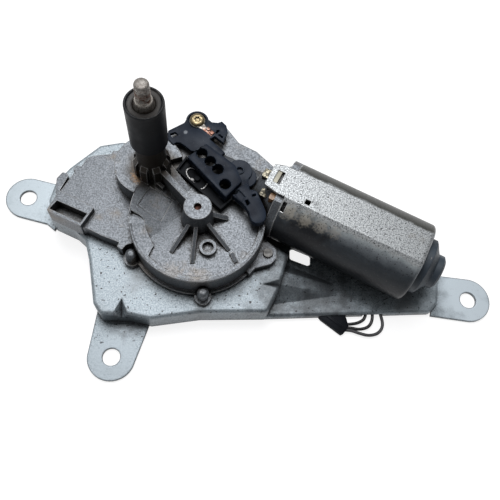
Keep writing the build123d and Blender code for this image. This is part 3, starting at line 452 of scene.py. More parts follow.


# %% [markdown]
# One function builds a finish from a few values, because the pieces share the same history: a base of
# two tones, stains, specks, worn edges and grain. On some finishes the edge colour, the darkening in
# corners and sheltered places, and placed bands and blotches are painted highlight and painted shade. The
# differences that make each one read as steel, casting, rubber or plastic are in the values, in metallic
# and in roughness. Each layer is mixed over the one before it, so the order is the order in which the
# layers lie on the metal.

# %% Build a finish


def make_finish(
        name, dark, light, tone_scale=60.0, rough=(0.4, 0.55), metallic=0.0, specular=0.5,
        stain=None, stain_scale=45.0, stain_level=0.62, speck=None, speck_scale=700.0, speck_level=0.7,
        edge=None, edge_radius=0.0005, grain_height=0.00002, soil=None, soil_radii=None,
        grime_and_shade=None, grime_and_shade_reach=0.003, grime_and_shade_amount=0.85, shade=None, shade_reach=0.03,
        bands=None, side=None, marks=(), painted_light=()):
    """A material of two tones, with a layer for each colour that is given.

    rough holds the roughness of the light tone and of the dark one. stain and speck are patches of
    noise, and soil is a film round the spindle. edge colours the edges: worn or lighter edges on most
    pieces, painted shade along the sheet's turned-down edges and a painted highlight on the casting's
    rims. grime_and_shade darkens narrow corners, partly as dirt and partly as painted shade, and shade is
    a wider painted shade in sheltered places. bands, side, marks and painted_light have their own
    places, and painted_light paints pools of light.
    """
    material = bpy.data.materials.new(name)
    material.use_nodes = True
    tree = material.node_tree
    shader = tree.nodes["Principled BSDF"]
    place = add_node(tree, "TexCoord").outputs["Object"]

    tone = place_group(tree, place, patches, Scale=tone_scale, Level=0.5, Softness=0.16)
    colour = mix_colour(tree, tone.outputs["Mask"], dark, light)
    spread = add_node(tree, "MapRange")
    spread.inputs["To Min"].default_value = rough[1]
    spread.inputs["To Max"].default_value = rough[0]
    tree.links.new(tone.outputs["Mask"], spread.inputs["Value"])

    if stain:
        blot = place_group(tree, place, patches, Scale=stain_scale, Level=stain_level, Softness=0.09)
        colour = mix_colour(tree, blot.outputs["Mask"], colour, stain)
    if soil:
        dirt = place_group(tree, place, film, Clean=soil_radii[0], Soiled=soil_radii[1])
        colour = mix_colour(tree, dirt.outputs["Mask"], colour, soil)
    if bands:
        colour = banded(tree, place, colour, bands)
    if side:
        colour = soiled_side(tree, place, colour, side)
    colour = blotches(tree, place, colour, marks)
    if speck:
        dots = place_group(tree, place, patches, Scale=speck_scale, Level=speck_level, Softness=0.02)
        colour = mix_colour(tree, dots.outputs["Mask"], colour, speck)
    colour = blotches(tree, place, colour, painted_light)

    edge_mask = place_group(tree, place, edges, Radius=edge_radius)
    # The edge colour gives worn or lighter edges on most pieces, painted shade along the sheet's turned-down
    # edges and a painted highlight on the casting's rims.
    if edge:
        colour = mix_colour(tree, edge_mask.outputs["Mask"], colour, edge)
    # The shade colour is painted shade: a wide darkening where nearby parts keep the light off, such as under
    # the can.
    if shade:
        sheltered = place_group(tree, place, crevice, Reach=shade_reach, Amount=0.9, Clean=0.66, Full=0.2)
        colour = mix_colour(tree, sheltered.outputs["Mask"], colour, shade)
    # The corner colour darkens narrow corners, partly as dirt and partly as painted shade.
    if grime_and_shade:
        corners = place_group(tree, place, crevice, Reach=grime_and_shade_reach, Amount=grime_and_shade_amount)
        colour = mix_colour(tree, corners.outputs["Mask"], colour, grime_and_shade)

    bump = add_node(tree, "Bump")
    bump.inputs["Distance"].default_value = grain_height
    tree.links.new(place_group(tree, place, grain).outputs["Height"], bump.inputs["Height"])
    tree.links.new(edge_mask.outputs["Normal"], bump.inputs["Normal"])

    tree.links.new(colour, shader.inputs["Base Color"])
    tree.links.new(spread.outputs["Result"], shader.inputs["Roughness"])
    tree.links.new(bump.outputs["Normal"], shader.inputs["Normal"])
    shader.inputs["Metallic"].default_value = metallic
    shader.inputs["Specular IOR Level"].default_value = specular
    return material


# %% [markdown]
# Zinc-plated sheet is pale and slightly blue, with dull grey clouds and black specks of road dirt. Its
# turned-down edges, the front ear's root and the arm under the can are painted dark as shade, and its
# ears take painted light. The casting is bare aluminium that has gone dull and brown in places, with a
# painted highlight on its rims. The can is zinc-plated too, and is stained along its top. Its lower half
# is painted black as shade, and pale tan painted highlights lie along its top and shoulder. The places of
# bands and marks are in metres in the part's own frame.

# %% Finishes of the sheet, the casting and the can
# On the sheet the dark edge colour is painted shade where the edges turn down, and the shade colour is
# painted shade under the can and beside the housing.
zinc_sheet = make_finish(
    "zinc_sheet", (0.235, 0.28, 0.315), (0.35, 0.40, 0.437), tone_scale=1200.0, rough=(0.38, 0.5),
    metallic=0.3, speck=(0.02, 0.02, 0.024), speck_scale=520.0, speck_level=0.658,
    stain=(0.21, 0.235, 0.255), stain_scale=42.0, stain_level=0.64, edge=(0.10, 0.115, 0.13),
    edge_radius=0.0011, grain_height=0.00002, grime_and_shade=(0.02, 0.02, 0.022), grime_and_shade_reach=0.005,
    grime_and_shade_amount=0.9, shade=(0.03, 0.034, 0.038),
    # These three dark marks are painted shade: at the front ear's root and on the arm under the can.
    marks=[
        ((-0.014, -0.084, -0.102), 0.015, (0.05, 0.055, 0.06), 0.6),
        ((0.078, -0.066, -0.090), 0.030, (0.03, 0.032, 0.036), 0.7),
        ((0.108, -0.072, -0.090), 0.034, (0.03, 0.032, 0.036), 0.8),
    ],
    # These three bright blotches are painted light that brightens the three ears.
    painted_light=[
        ((0.200, -0.070, -0.104), 0.036, (0.70, 0.79, 0.86), 0.8),
        ((-0.083, -0.003, -0.104), 0.034, (0.46, 0.525, 0.57), 0.85),
        ((-0.022, -0.107, -0.104), 0.024, (0.33, 0.38, 0.42), 0.8),
    ])
# On the casting the pale edge colour is a painted highlight on the rims, and the shade colour is painted
# shade in sheltered places.
casting = make_finish(
    "casting", (0.092, 0.101, 0.113), (0.150, 0.163, 0.181), tone_scale=1200.0, rough=(0.33, 0.48),
    metallic=0.45, speck=(0.04, 0.04, 0.04), speck_scale=1400.0, speck_level=0.66,
    stain=(0.12, 0.105, 0.09), stain_scale=60.0, stain_level=0.66, edge=(0.60, 0.60, 0.60),
    edge_radius=0.0007, grain_height=0.00004, soil=(0.03, 0.024, 0.018), soil_radii=(0.0190, 0.0106),
    specular=0.35, grime_and_shade=(0.010, 0.008, 0.007), grime_and_shade_reach=0.0034, grime_and_shade_amount=1.0,
    shade=(0.05, 0.045, 0.04), shade_reach=0.012,
    marks=[
        ((-0.008, -0.006, -0.066), 0.006, (0.17, 0.10, 0.05), 0.8),
        ((0.028, -0.068, -0.074), 0.010, (0.20, 0.15, 0.10), 0.2),
        ((0.012, -0.064, -0.074), 0.008, (0.20, 0.15, 0.10), 0.2),
    ])
can_steel = make_finish(
    "can_steel", (0.17, 0.18, 0.19), (0.50, 0.525, 0.54), tone_scale=1300.0, rough=(0.32, 0.44), metallic=0.3,
    speck=(0.035, 0.035, 0.037), speck_scale=1000.0, speck_level=0.635, stain=(0.14, 0.12, 0.09),
    stain_scale=70.0, stain_level=0.72, edge=(0.70, 0.71, 0.71), edge_radius=0.0008, grain_height=0.00004,
    specular=0.35, grime_and_shade=(0.015, 0.014, 0.012), grime_and_shade_reach=0.005,
    # These bands are painted shade that turns the can black towards its bottom, with a painted highlight
    # along the shoulder at -0.0572.
    bands=[
        (-0.1010, (0.004, 0.005, 0.007), 1.0), (-0.0860, (0.005, 0.007, 0.009), 1.0),
        (-0.0740, (0.006, 0.008, 0.011), 1.0), (-0.0670, (0.014, 0.019, 0.025), 1.0),
        (-0.0625, (0.05, 0.06, 0.072), 0.97), (-0.0590, (0.16, 0.18, 0.20), 0.92),
        (-0.0572, (0.34, 0.38, 0.40), 0.8), (-0.0560, (0.5, 0.5, 0.5), 0.0),
    ],
    side=((0.4617, 0.887, 0.0), 0.0335, 0.0355, (0.052, 0.052, 0.045), 0.95),
    marks=[
        ((0.0890, -0.0440, -0.0670), 0.020, (0.008, 0.008, 0.010), 0.8),
        # The four pale tan marks along the top are painted highlights.
        ((0.0790, -0.0330, -0.0580), 0.0066, (0.64, 0.59, 0.50), 0.5),
        ((0.0880, -0.0370, -0.0580), 0.0062, (0.64, 0.59, 0.50), 0.45),
        ((0.0970, -0.0410, -0.0580), 0.0058, (0.60, 0.55, 0.47), 0.4),
        ((0.1050, -0.0450, -0.0580), 0.0050, (0.52, 0.48, 0.42), 0.35),
    ])
print("materials so far:", len(bpy.data.materials))

# %% [markdown]
# The small steel pieces differ in polish and wear. The thread is coloured in bands: a pale painted
# highlight at its foot, rust round its middle, and a bright ring above the rust.

# %% Finishes of the steel pieces
cover_steel = make_finish(
    "cover_steel", (0.24, 0.25, 0.26), (0.42, 0.43, 0.44), rough=(0.35, 0.5), metallic=0.8,
    stain=(0.10, 0.09, 0.07), edge=(0.7, 0.7, 0.7), edge_radius=0.0003)
bright_steel = make_finish(
    "bright_steel", (0.45, 0.45, 0.45), (0.66, 0.66, 0.65), tone_scale=200.0, rough=(0.2, 0.32), metallic=1.0,
    stain=(0.22, 0.16, 0.10), stain_scale=150.0, stain_level=0.66, edge_radius=0.0002)
dull_steel = make_finish(
    "dull_steel", (0.16, 0.165, 0.17), (0.30, 0.305, 0.31), tone_scale=300.0, rough=(0.38, 0.5), metallic=0.6,
    edge=(0.5, 0.5, 0.5), edge_radius=0.0003, grime_and_shade=(0.015, 0.013, 0.011), grime_and_shade_reach=0.002)
worn_thread = make_finish(
    "worn_thread", (0.30, 0.275, 0.25), (0.68, 0.64, 0.59), tone_scale=700.0, rough=(0.42, 0.55),
    metallic=0.35, speck=(0.05, 0.04, 0.03), speck_scale=1300.0, speck_level=0.62,
    stain=(0.14, 0.055, 0.025), stain_scale=420.0, stain_level=0.56, edge=(0.55, 0.53, 0.50),
    edge_radius=0.0003, grime_and_shade=(0.03, 0.022, 0.016), grime_and_shade_reach=0.001,
    # The pale band at 0.0002 is a painted highlight at the thread's foot.
    bands=[
        (-0.0080, (0.075, 0.068, 0.060), 0.9), (-0.0012, (0.10, 0.092, 0.084), 0.75),
        (0.0002, (0.62, 0.58, 0.52), 0.7), (0.0016, (0.4, 0.38, 0.35), 0.1),
        (0.0032, (0.20, 0.08, 0.045), 0.1), (0.0050, (0.24, 0.10, 0.055), 0.65),
        (0.0066, (0.24, 0.10, 0.055), 0.4), (0.0078, (0.80, 0.77, 0.72), 0.8),
        (0.0092, (0.30, 0.28, 0.26), 0.2), (0.0120, (0.20, 0.188, 0.175), 0.85),
    ])
rivet_steel = make_finish(
    "rivet_steel", (0.09, 0.088, 0.085), (0.19, 0.186, 0.18), tone_scale=500.0, rough=(0.5, 0.62),
    metallic=0.3, edge=(0.3, 0.3, 0.3), edge_radius=0.0003, grime_and_shade=(0.015, 0.013, 0.011),
    grime_and_shade_reach=0.002)
wire_steel = make_finish(
    "wire_steel", (0.34, 0.34, 0.34), (0.62, 0.62, 0.62), tone_scale=500.0, rough=(0.3, 0.42), metallic=0.25)
strip_metal = make_finish(
    "strip_metal", (0.16, 0.15, 0.14), (0.36, 0.34, 0.31), tone_scale=700.0, rough=(0.35, 0.5), metallic=0.6,
    grime_and_shade=(0.02, 0.015, 0.012), grime_and_shade_reach=0.0012, edge_radius=0.0002,
    marks=[((0.0340, 0.0255, -0.0655), 0.0062, (0.20, 0.085, 0.055), 0.95)])
rust = make_finish("rust", (0.06, 0.022, 0.015), (0.16, 0.055, 0.035), tone_scale=500.0, rough=(0.7, 0.85))
yellow_zinc = make_finish(
    "yellow_zinc", (0.14, 0.11, 0.06), (0.31, 0.25, 0.145), tone_scale=500.0, rough=(0.3, 0.42),
    metallic=0.75, edge=(0.62, 0.54, 0.36), edge_radius=0.0003, grime_and_shade=(0.02, 0.015, 0.01),
    grime_and_shade_reach=0.0012)
print("materials so far:", len(bpy.data.materials))

# %% [markdown]
# Bushes, windings and iron are hidden, and need only a plain finish. Thin pieces keep a small edge
# radius, so that the rounding doesn't cross them.

# %% Finishes of bronze, copper and iron
bronze = make_finish(
    "bronze", (0.36, 0.22, 0.10), (0.52, 0.35, 0.17), tone_scale=200.0, rough=(0.4, 0.55), metallic=0.9)
copper = make_finish(
    "copper", (0.13, 0.045, 0.025), (0.30, 0.13, 0.075), tone_scale=600.0, rough=(0.35, 0.5), metallic=0.7,
    edge_radius=0.0002, grime_and_shade=(0.015, 0.01, 0.008), grime_and_shade_reach=0.001)
dark_iron = make_finish(
    "dark_iron", (0.05, 0.05, 0.052), (0.10, 0.10, 0.105), rough=(0.45, 0.6), metallic=0.6)
print("materials so far:", len(bpy.data.materials))

# %% [markdown]
# Rubber and plastic are dark and not metallic, so their look comes from a soft reflection and a few
# pale specks of dust.

# %% Rubber and plastic finishes
black_rubber = make_finish(
    "black_rubber", (0.004, 0.0046, 0.0062), (0.010, 0.011, 0.014), tone_scale=80.0, rough=(0.42, 0.55),
    specular=0.22, speck=(0.05, 0.05, 0.05), speck_scale=1100.0, speck_level=0.72, grain_height=0.00002,
    soil=(0.045, 0.042, 0.040), soil_radii=(0.0094, 0.0082))
boot_rubber = make_finish(
    "boot_rubber", (0.025, 0.036, 0.050), (0.045, 0.062, 0.082), tone_scale=60.0, rough=(0.45, 0.6),
    speck=(0.20, 0.20, 0.19), speck_scale=700.0, speck_level=0.70)
slate_plastic = make_finish(
    "slate_plastic", (0.005, 0.009, 0.019), (0.012, 0.020, 0.036), tone_scale=70.0, rough=(0.42, 0.55),
    specular=0.15, speck=(0.06, 0.07, 0.08), speck_scale=1300.0, speck_level=0.70,
    edge=(0.07, 0.085, 0.105), edge_radius=0.0004,
    marks=[((0.0189, 0.0249, -0.0658), 0.0016, (0.25, 0.27, 0.30), 0.9)])
black_plastic = make_finish(
    "black_plastic", (0.003, 0.004, 0.006), (0.008, 0.010, 0.014), rough=(0.5, 0.62),
    edge=(0.03, 0.034, 0.04), edge_radius=0.0003, specular=0.1)
brass = make_finish(
    "brass", (0.06, 0.055, 0.04), (0.30, 0.275, 0.21), tone_scale=700.0, rough=(0.3, 0.45), metallic=0.7,
    stain=(0.03, 0.028, 0.02), stain_scale=420.0, stain_level=0.52, edge=(0.55, 0.53, 0.45),
    edge_radius=0.0004)
amber_resin = make_finish(
    "amber_resin", (0.16, 0.075, 0.03), (0.30, 0.165, 0.08), tone_scale=350.0, rough=(0.3, 0.45),
    edge=(0.55, 0.38, 0.2), edge_radius=0.0003)
ivory_plastic = make_finish(
    "ivory_plastic", (0.34, 0.32, 0.25), (0.50, 0.48, 0.38), rough=(0.4, 0.5), stain=(0.12, 0.10, 0.07),
    grime_and_shade=(0.02, 0.018, 0.014), grime_and_shade_reach=0.0015)
gear_plastic = make_finish(
    "gear_plastic", (0.60, 0.56, 0.45), (0.76, 0.72, 0.61), rough=(0.38, 0.5))
lead_black = make_finish("lead_black", (0.010, 0.010, 0.012), (0.02, 0.02, 0.022), rough=(0.35, 0.45))
lead_grey = make_finish("lead_grey", (0.04, 0.04, 0.045), (0.07, 0.07, 0.075), rough=(0.4, 0.5))
print("materials so far:", len(bpy.data.materials))

# %% [markdown]
# Each CAD node takes the finish that its real piece has. A few nodes are replaced by finer pieces
# further down, and take theirs there.

# %% Give the CAD nodes their finishes
finishes = {
    zinc_sheet: ["bracket"],
    casting: ["gear_housing"],
    can_steel: ["motor_can"],
    cover_steel: ["base_cover"],
    bright_steel: ["armature_shaft", "lever_pin", "crank_pin", "worm"],
    worn_thread: ["spindle"],
    rust: ["wheel_axle"],
    dull_steel: [
        "cover_screws", "bracket_screws", "can_screws", "spindle_lever", "connecting_rod", "wheel_clip",
        "brush_springs", "spring_clip",
    ],
    rivet_steel: ["ear_rivet"],
    yellow_zinc: ["plate_screw"],
    brass: ["brush_terminals"],
    amber_resin: ["suppressor"],
    bronze: ["upper_spindle_bush", "lower_spindle_bush", "nose_bearing", "front_bearing", "rear_bearing"],
    copper: ["windings", "commutator", "terminal_strip"],
    dark_iron: ["lamination_stack", "magnets", "brushes"],
    black_rubber: ["spindle_sleeve"],
    boot_rubber: ["end_boot", "lead_grommet"],
    slate_plastic: ["contact_plate", "connector_block"],
    black_plastic: ["contact_frame", "brush_carrier"],
    ivory_plastic: ["terminal_insulator"],
    gear_plastic: ["worm_wheel"],
    lead_black: ["lead_a", "lead_b"],
    lead_grey: ["lead_c"],
}
dressed = 0
for material, names in finishes.items():
    for name in names:
        for slot in nodes[name].material_slots:
            slot.material = material
            dressed += 1
print("material slots dressed:", dressed)

# %% [markdown]
# ## Pieces that CAD leaves plain
# Threads, serrations, a screw's recess and soft lips are modelled here, each in its CAD node's place.
# Positions are written in millimetres about the gear wheel's axis, and shifted to the part's own frame.

# %% Helpers for the modelled pieces
shift = Vector((27.0, -30.5, -72.0))
weld_distance = 1e-7


def at(x, y, z):
    """A point of the part's frame in metres, from millimetres about the gear wheel's axis."""
    return (Vector((x, y, z)) + shift) * mm


def height_of(vert):
    """A vertex's height in the millimetres that the positions are written in."""
    return vert.co.z / mm - shift.z


def new_piece(name, bm, material, body, node, smooth=35.0):
    """A mesh piece that moves with a body, and stands for a CAD node if one is named."""
    mesh = bpy.data.meshes.new(name)
    bmesh.ops.recalc_face_normals(bm, faces=bm.faces)
    bm.to_mesh(mesh)
    bm.free()
    mesh.materials.append(material)
    mesh.shade_smooth()
    mesh.set_sharp_from_angle(angle=radians(smooth))
    piece = bpy.data.objects.new(name, mesh)
    scene.collection.objects.link(piece)
    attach(piece, body)
    if node:
        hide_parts(node)
    return piece


def lathe(profile, x, y, steps=48):
    """A turned mesh: the profile's (radius, height) points in millimetres spun about an upright axis."""
    bm = bmesh.new()
    line = [bm.verts.new(at(x + radius, y, height)) for radius, height in profile]
    rim = [bm.edges.new(pair) for pair in zip(line, line[1:])]
    bmesh.ops.spin(
        bm, geom=line + rim, cent=at(x, y, 0), axis=(0, 0, 1), angle=2 * pi, steps=steps, use_merge=True)
    bmesh.ops.remove_doubles(bm, verts=bm.verts, dist=weld_distance)
    return bm


# %% [markdown]
# The spindle ends in an M8 thread with a smooth pilot above it. The thread is a helix: the radius at
# each point of the turned mesh follows a triangle wave of height and angle. Below it the cone is
# serrated, to grip the wiper arm.

# %% Threaded spindle
spindle_place = (-27.0, 30.5)
pitch, thread_r, thread_depth = 1.25, 4.0, 0.68
thread_low, thread_high = 72.8, 80.4
lead_in, run_out = 0.8, 0.5
cone_low, cone_high = 66.4, 72.0
cone_r, cone_taper, cone_steps = 6.2, 1.6, 10
serrations, serration_depth, serration_fade = 24, 0.22, 0.6


def zigzag(turns):
    """A triangle wave: 1 at whole turns and 0 halfway between them."""
    return abs(2 * (turns % 1.0) - 1)


profile = [(0.0, -13.9), (5.0, -13.9), (5.0, 66.0), (cone_r, cone_low)]
for step in range(1, cone_steps + 1):
    share = step / cone_steps
    profile.append((cone_r - cone_taper * share, cone_low + (cone_high - cone_low) * share))
profile.append((thread_r, 72.3))
profile += [(thread_r, 72.5 + pitch / 10 * step) for step in range(64)]
profile += [
    (3.45, 80.8), (3.45, 81.3), (3.85, 81.6), (3.85, 83.3), (3.6, 84.0), (3.0, 84.4), (1.5, 84.5),
    (0.0, 84.5),
]
bm = lathe(profile, *spindle_place, steps=96)
axis_point = at(*spindle_place, 0)
for vert in bm.verts:
    out = Vector((vert.co.x - axis_point.x, vert.co.y - axis_point.y, 0.0))
    level = height_of(vert)
    turn = (Vector((1, 0)).angle_signed(out.to_2d()) if out.length > 1e-6 else 0.0) / (2 * pi)
    if thread_low < level < thread_high:
        fade = min(1.0, (level - thread_low) / lead_in, (thread_high - level) / run_out)
        out_by = -thread_depth * zigzag((level - thread_low) / pitch + turn) * fade
    elif cone_low < level < cone_high:
        fade = min(1.0, (cone_high - level) / serration_fade)
        out_by = serration_depth * (zigzag(turn * serrations) - 1) * fade
    else:
        continue
    vert.co += out.normalized() * out_by * mm
new_piece("spindle_turned", bm, worn_thread, "spindle", "spindle", smooth=50.0)
print("thread turns:", round((thread_high - thread_low) / pitch, 1))

# %% [markdown]
# The rubber sleeve has a raised rim round a sunken, dusty top that reaches in to the cone.

# %% Rubber sleeve
profile = [
    (8.6, 35.6), (10.2, 35.6), (10.5, 36.0), (10.5, 68.2), (10.42, 68.9), (10.1, 69.4), (9.7, 69.5),
    (9.3, 69.4), (9.0, 69.0), (8.8, 68.6), (8.4, 68.5), (7.3, 68.4), (6.3, 68.2), (6.1, 68.0),
    (6.4, 67.3), (6.5, 64.0), (8.6, 64.0), (8.6, 35.6),
]
bm = lathe(profile, *spindle_place, steps=72)
new_piece("sleeve_turned", bm, black_rubber, "housing", "spindle_sleeve")
print("sleeve profile points:", len(profile))

# %% [markdown]
# The plate screw has a low domed head with a six-lobed recess. The recess is part of the turned
# profile, and its wall is pushed in and out six times round.

# %% Plate screw
screw_place = (-1.1, 64.2)
recess_lobes, recess_middle, recess_wave = 6, 0.80, 0.20
profile = [
    (0.0, 6.9), (1.9, 6.9), (2.0, 8.0), (2.3, 8.15), (3.4, 8.0), (4.2, 7.6), (4.6, 7.0), (4.6, 6.3),
    (1.7, 6.3), (1.7, -4.0), (0.0, -4.0),
]
bm = lathe(profile, *screw_place, steps=48)
axis_point = at(*screw_place, 0)
for vert in bm.verts:
    out = Vector((vert.co.x - axis_point.x, vert.co.y - axis_point.y))
    on_recess_wall = 1.5 < out.length / mm < 2.1 and height_of(vert) > 6.5
    if on_recess_wall:
        turn = Vector((1, 0)).angle_signed(out)
        scale = recess_middle + recess_wave * cos(recess_lobes * turn)
        vert.co.x = axis_point.x + out.x * scale
        vert.co.y = axis_point.y + out.y * scale
new_piece("plate_screw_head", bm, yellow_zinc, "housing", "plate_screw")
print("recess lobes:", recess_lobes)

# %% [markdown]
# Flat moulded pieces are drawn as outlines with holes. The fill operator closes the space between the
# loops, and the face is then raised into a slab and its upper edges are rounded.

# %% Helpers for moulded pieces


def circle(x, y, radius, count=24, start=0.0, end=2 * pi):
    """Points on a circle or an arc, in millimetres. An arc has a point at both ends."""
    closed = abs(end - start - 2 * pi) < 1e-6
    steps = count if closed else count - 1
    angles = [start + (end - start) * step / steps for step in range(count)]
    return [(x + radius * cos(angle), y + radius * sin(angle)) for angle in angles]


def moulded(outline, low, high, holes=(), bevel=0.3):
    """A slab with holes and rounded upper edges."""
    bm = bmesh.new()
    for loop in (outline, *holes):
        verts = [bm.verts.new(at(x, y, low)) for x, y in loop]
        for first, second in zip(verts, verts[1:] + verts[:1]):
            bm.edges.new((first, second))
    bmesh.ops.triangle_fill(bm, edges=list(bm.edges), use_beauty=True)
    raised = bmesh.ops.extrude_face_region(bm, geom=list(bm.faces))
    tops = [item for item in raised["geom"] if isinstance(item, bmesh.types.BMVert)]
    bmesh.ops.translate(bm, verts=tops, vec=(0, 0, (high - low) * mm))
    bmesh.ops.recalc_face_normals(bm, faces=bm.faces)
    level = at(0, 0, high).z
    rims = [
        edge for edge in bm.edges
        if all(abs(vert.co.z - level) < 1e-6 for vert in edge.verts) and edge.calc_face_angle(0.0) > 1.0
    ]
    bmesh.ops.bevel(
        bm, geom=rims, offset=bevel * mm, offset_type="OFFSET", affect="EDGES", segments=2, profile=0.5,
        material=-1)
    return bm


def joined(parts):
    """One mesh from several."""
    whole = bmesh.new()
    for part in parts:
        mesh = bpy.data.meshes.new("part")
        bmesh.ops.recalc_face_normals(part, faces=part.faces)
        part.to_mesh(mesh)
        part.free()
        whole.from_mesh(mesh)
        bpy.data.meshes.remove(mesh)
    return whole


# %% [markdown]
# The contact plate is one moulding, drawn in layers. Its base has a claw and two hook slots, and an arc
# that follows the plate screw. The rail joins its lobe to the arm.

# %% Contact plate: base and rail
base_low, base_top = 3.6, 6.2
lobe_arc = circle(*screw_place, 7.0, 15, radians(190), radians(8))
base = [(-18.8, 56.3), (-9.2, 62.3)] + lobe_arc[1:] + [
    (8.0, 63.3), (11.7, 63.0), (14.2, 64.1), (16.9, 61.2), (17.8, 56.0), (15.8, 51.6), (15.2, 48.4),
    (12.9, 50.4), (9.8, 53.2), (6.6, 51.0), (9.7, 48.0), (13.4, 44.5), (16.0, 41.6), (12.6, 38.4),
    (9.0, 42.2), (3.0, 42.8), (-2.0, 42.0), (-4.6, 42.4), (-8.6, 46.1), (-11.4, 48.0), (-13.7, 48.1),
    (-15.4, 46.6), (-18.6, 50.1), (-19.2, 53.0),
]
base_holes = [
    circle(*screw_place, 5.7),
    [(-17.6, 54.2), (-14.4, 55.5), (-12.4, 53.4), (-16.3, 51.3)],
    [(10.2, 55.2), (10.9, 57.6), (12.9, 57.6), (12.5, 56.5), (11.7, 56.4), (11.5, 55.4)],
    [(12.4, 54.9), (14.9, 52.8), (14.3, 52.0), (11.9, 54.0)],
]
rail = [(20.0, 27.0), (22.4, 13.6), (32.0, 14.0), (30.4, 18.0), (29.8, 22.5), (31.6, 29.0)]
print("base outline points:", len(base))

# %% [markdown]
# The tongue is a leaning rectangle with a bulge and four holes. Its outline is written along and across
# the tongue, and then turned and moved to its place.

# %% Contact plate: tongue
tongue_top = 10.0
tongue_corner = (-6.7, 36.0)
tongue_lean = radians(-49.6)
tongue_shape = [
    (0.6, 0), (34.4, 0), (35, 0.6), (33.2, 14.2), (32.6, 14.8), (22.6, 18.5), (0.6, 14.8), (0, 14.2),
    (0, 0.6),
]
tongue = [
    (tongue_corner[0] + along * cos(tongue_lean) - across * sin(tongue_lean),
     tongue_corner[1] + along * sin(tongue_lean) + across * cos(tongue_lean))
    for along, across in tongue_shape
]
tongue_hole_r = 3.4
tongue_hole_places = [(2.0, 38.6), (7.0, 33.2), (11.6, 27.9), (15.8, 17.9)]
tongue_holes = [circle(x, y, tongue_hole_r) for x, y in tongue_hole_places]
print("tongue holes:", len(tongue_holes))

# %% [markdown]
# The arm reaches over the housing to the can's neck. It has a pocket with a floor, and two slots.

# %% Contact plate: arm and lobe
arm_top = 8.0
arm = [
    (20.1, 11.8), (24.2, 7.8), (27.6, 4.4), (29.6, 1.0), (30.2, -2.4), (31.2, -4.8), (33.2, -6.2),
    (36.0, -6.1), (38.4, -4.6), (39.6, -2.2), (39.6, 1.4), (38.2, 5.4), (36.6, 9.6), (34.7, 14.6),
    (32.4, 15.6), (30.4, 15.4), (30.2, 18.4), (28.6, 20.0), (23.4, 16.6), (22.6, 14.4),
]
arm_holes = [
    [(21.5, 12.5), (24.0, 15.2), (27.8, 10.8), (25.4, 7.6)],
    [(27.5, 8.2), (29.2, 9.1), (30.5, 6.7), (28.7, 5.2)],
    [(31.7, 12.2), (33.8, 13.1), (34.1, 11.9), (32.1, 10.9)],
]
pocket_floor = [(21.0, 12.4), (25.4, 7.0), (28.6, 10.6), (24.4, 16.0)]
lobe_place, step_place = (24.8, 29.4), (28.3, 25.6)
lobe_profile = [
    (0.0, 5.2), (1.9, 5.2), (1.9, 6.8), (2.1, 7.0), (2.5, 7.0), (2.7, 6.8), (2.7, 6.2), (7.2, 6.2),
    (7.6, 5.8), (7.6, 3.6), (0.0, 3.6),
]
step_profile = [(0.0, 5.0), (6.4, 5.0), (6.8, 4.6), (6.8, 3.6), (0.0, 3.6)]
print("arm openings:", len(arm_holes))

# %% [markdown]
# The layers overlap, so their floors and tops lie at slightly different heights. Two faces in one plane
# would fight for the same pixels and show as dark triangles.

# %% Contact plate: join the layers
contact = joined([
    moulded(base, base_low, base_top, base_holes),
    moulded(tongue, base_low + 0.1, tongue_top, tongue_holes, 0.5),
    moulded(arm, base_low, arm_top, arm_holes, 0.5),
    moulded(pocket_floor, base_low + 0.2, base_low + 3.2, (), 0.2),
    moulded(rail, base_low + 0.15, base_top - 0.25, (), 0.3),
    lathe(lobe_profile, *lobe_place, 48),
    lathe(step_profile, *step_place, 40),
    moulded(circle(*screw_place, 6.9), 0.2, base_low + 0.6, (), 0.2),
])
new_piece("contact_moulding", contact, slate_plastic, "housing", "contact_plate")
print("contact plate drawn with", len(base_holes) + len(tongue_holes) + len(arm_holes), "openings")

# %% [markdown]
# The connector block is a slim shell with a low key on its top.

# %% Connector block
block = [
    (74.8, -50.6), (76.0, -52.2), (87.8, -61.6), (89.4, -61.0), (92.2, -58.0), (93.0, -56.0), (92.0, -51.0),
    (90.0, -46.0), (80.0, -44.0),
]
key = [(79.4, -50.6), (88.0, -57.6), (89.2, -56.2), (80.8, -49.2)]
connector = joined([moulded(block, -34.8, -31.6, (), 0.8), moulded(key, -32.0, -31.1, (), 0.3)])
new_piece("connector_shell", connector, black_plastic, "housing", "connector_block")
print("connector outline points:", len(block))

# %% [markdown]
# The casting's round rim carries a low lip along its front half, where the mould's two halves met. It
# catches the light as a bright line and drops a thin shadow inside.

# %% Rim lip
lip_outer_r, lip_inner_r = 39.9, 38.6
lip_start, lip_end = radians(186), radians(350)
lip = circle(0, 0, lip_outer_r, 60, lip_start, lip_end) + circle(0, 0, lip_inner_r, 60, lip_end, lip_start)
new_piece("rim_lip", moulded(lip, -0.6, 0.7, (), 0.3), casting, "housing", None)
print("rim lip points:", len(lip))

# %% [markdown]
# Under the motor's nose the bracket's floor runs on as a small web. It closes the view between the rivet
# ear and the can.

# %% Bracket web
web = [(39.5, -3.2), (41.0, 9.0), (53.5, 9.0), (53.5, -4.0), (48.5, -5.2)]
new_piece("bracket_web", moulded(web, -30.6, -29.7, (), 0.2), zinc_sheet, "housing", None)
print("bracket web corners:", len(web))

# %% [markdown]
# The metal ring lies under the plate screw's head. Its tail ends in two raised pads.

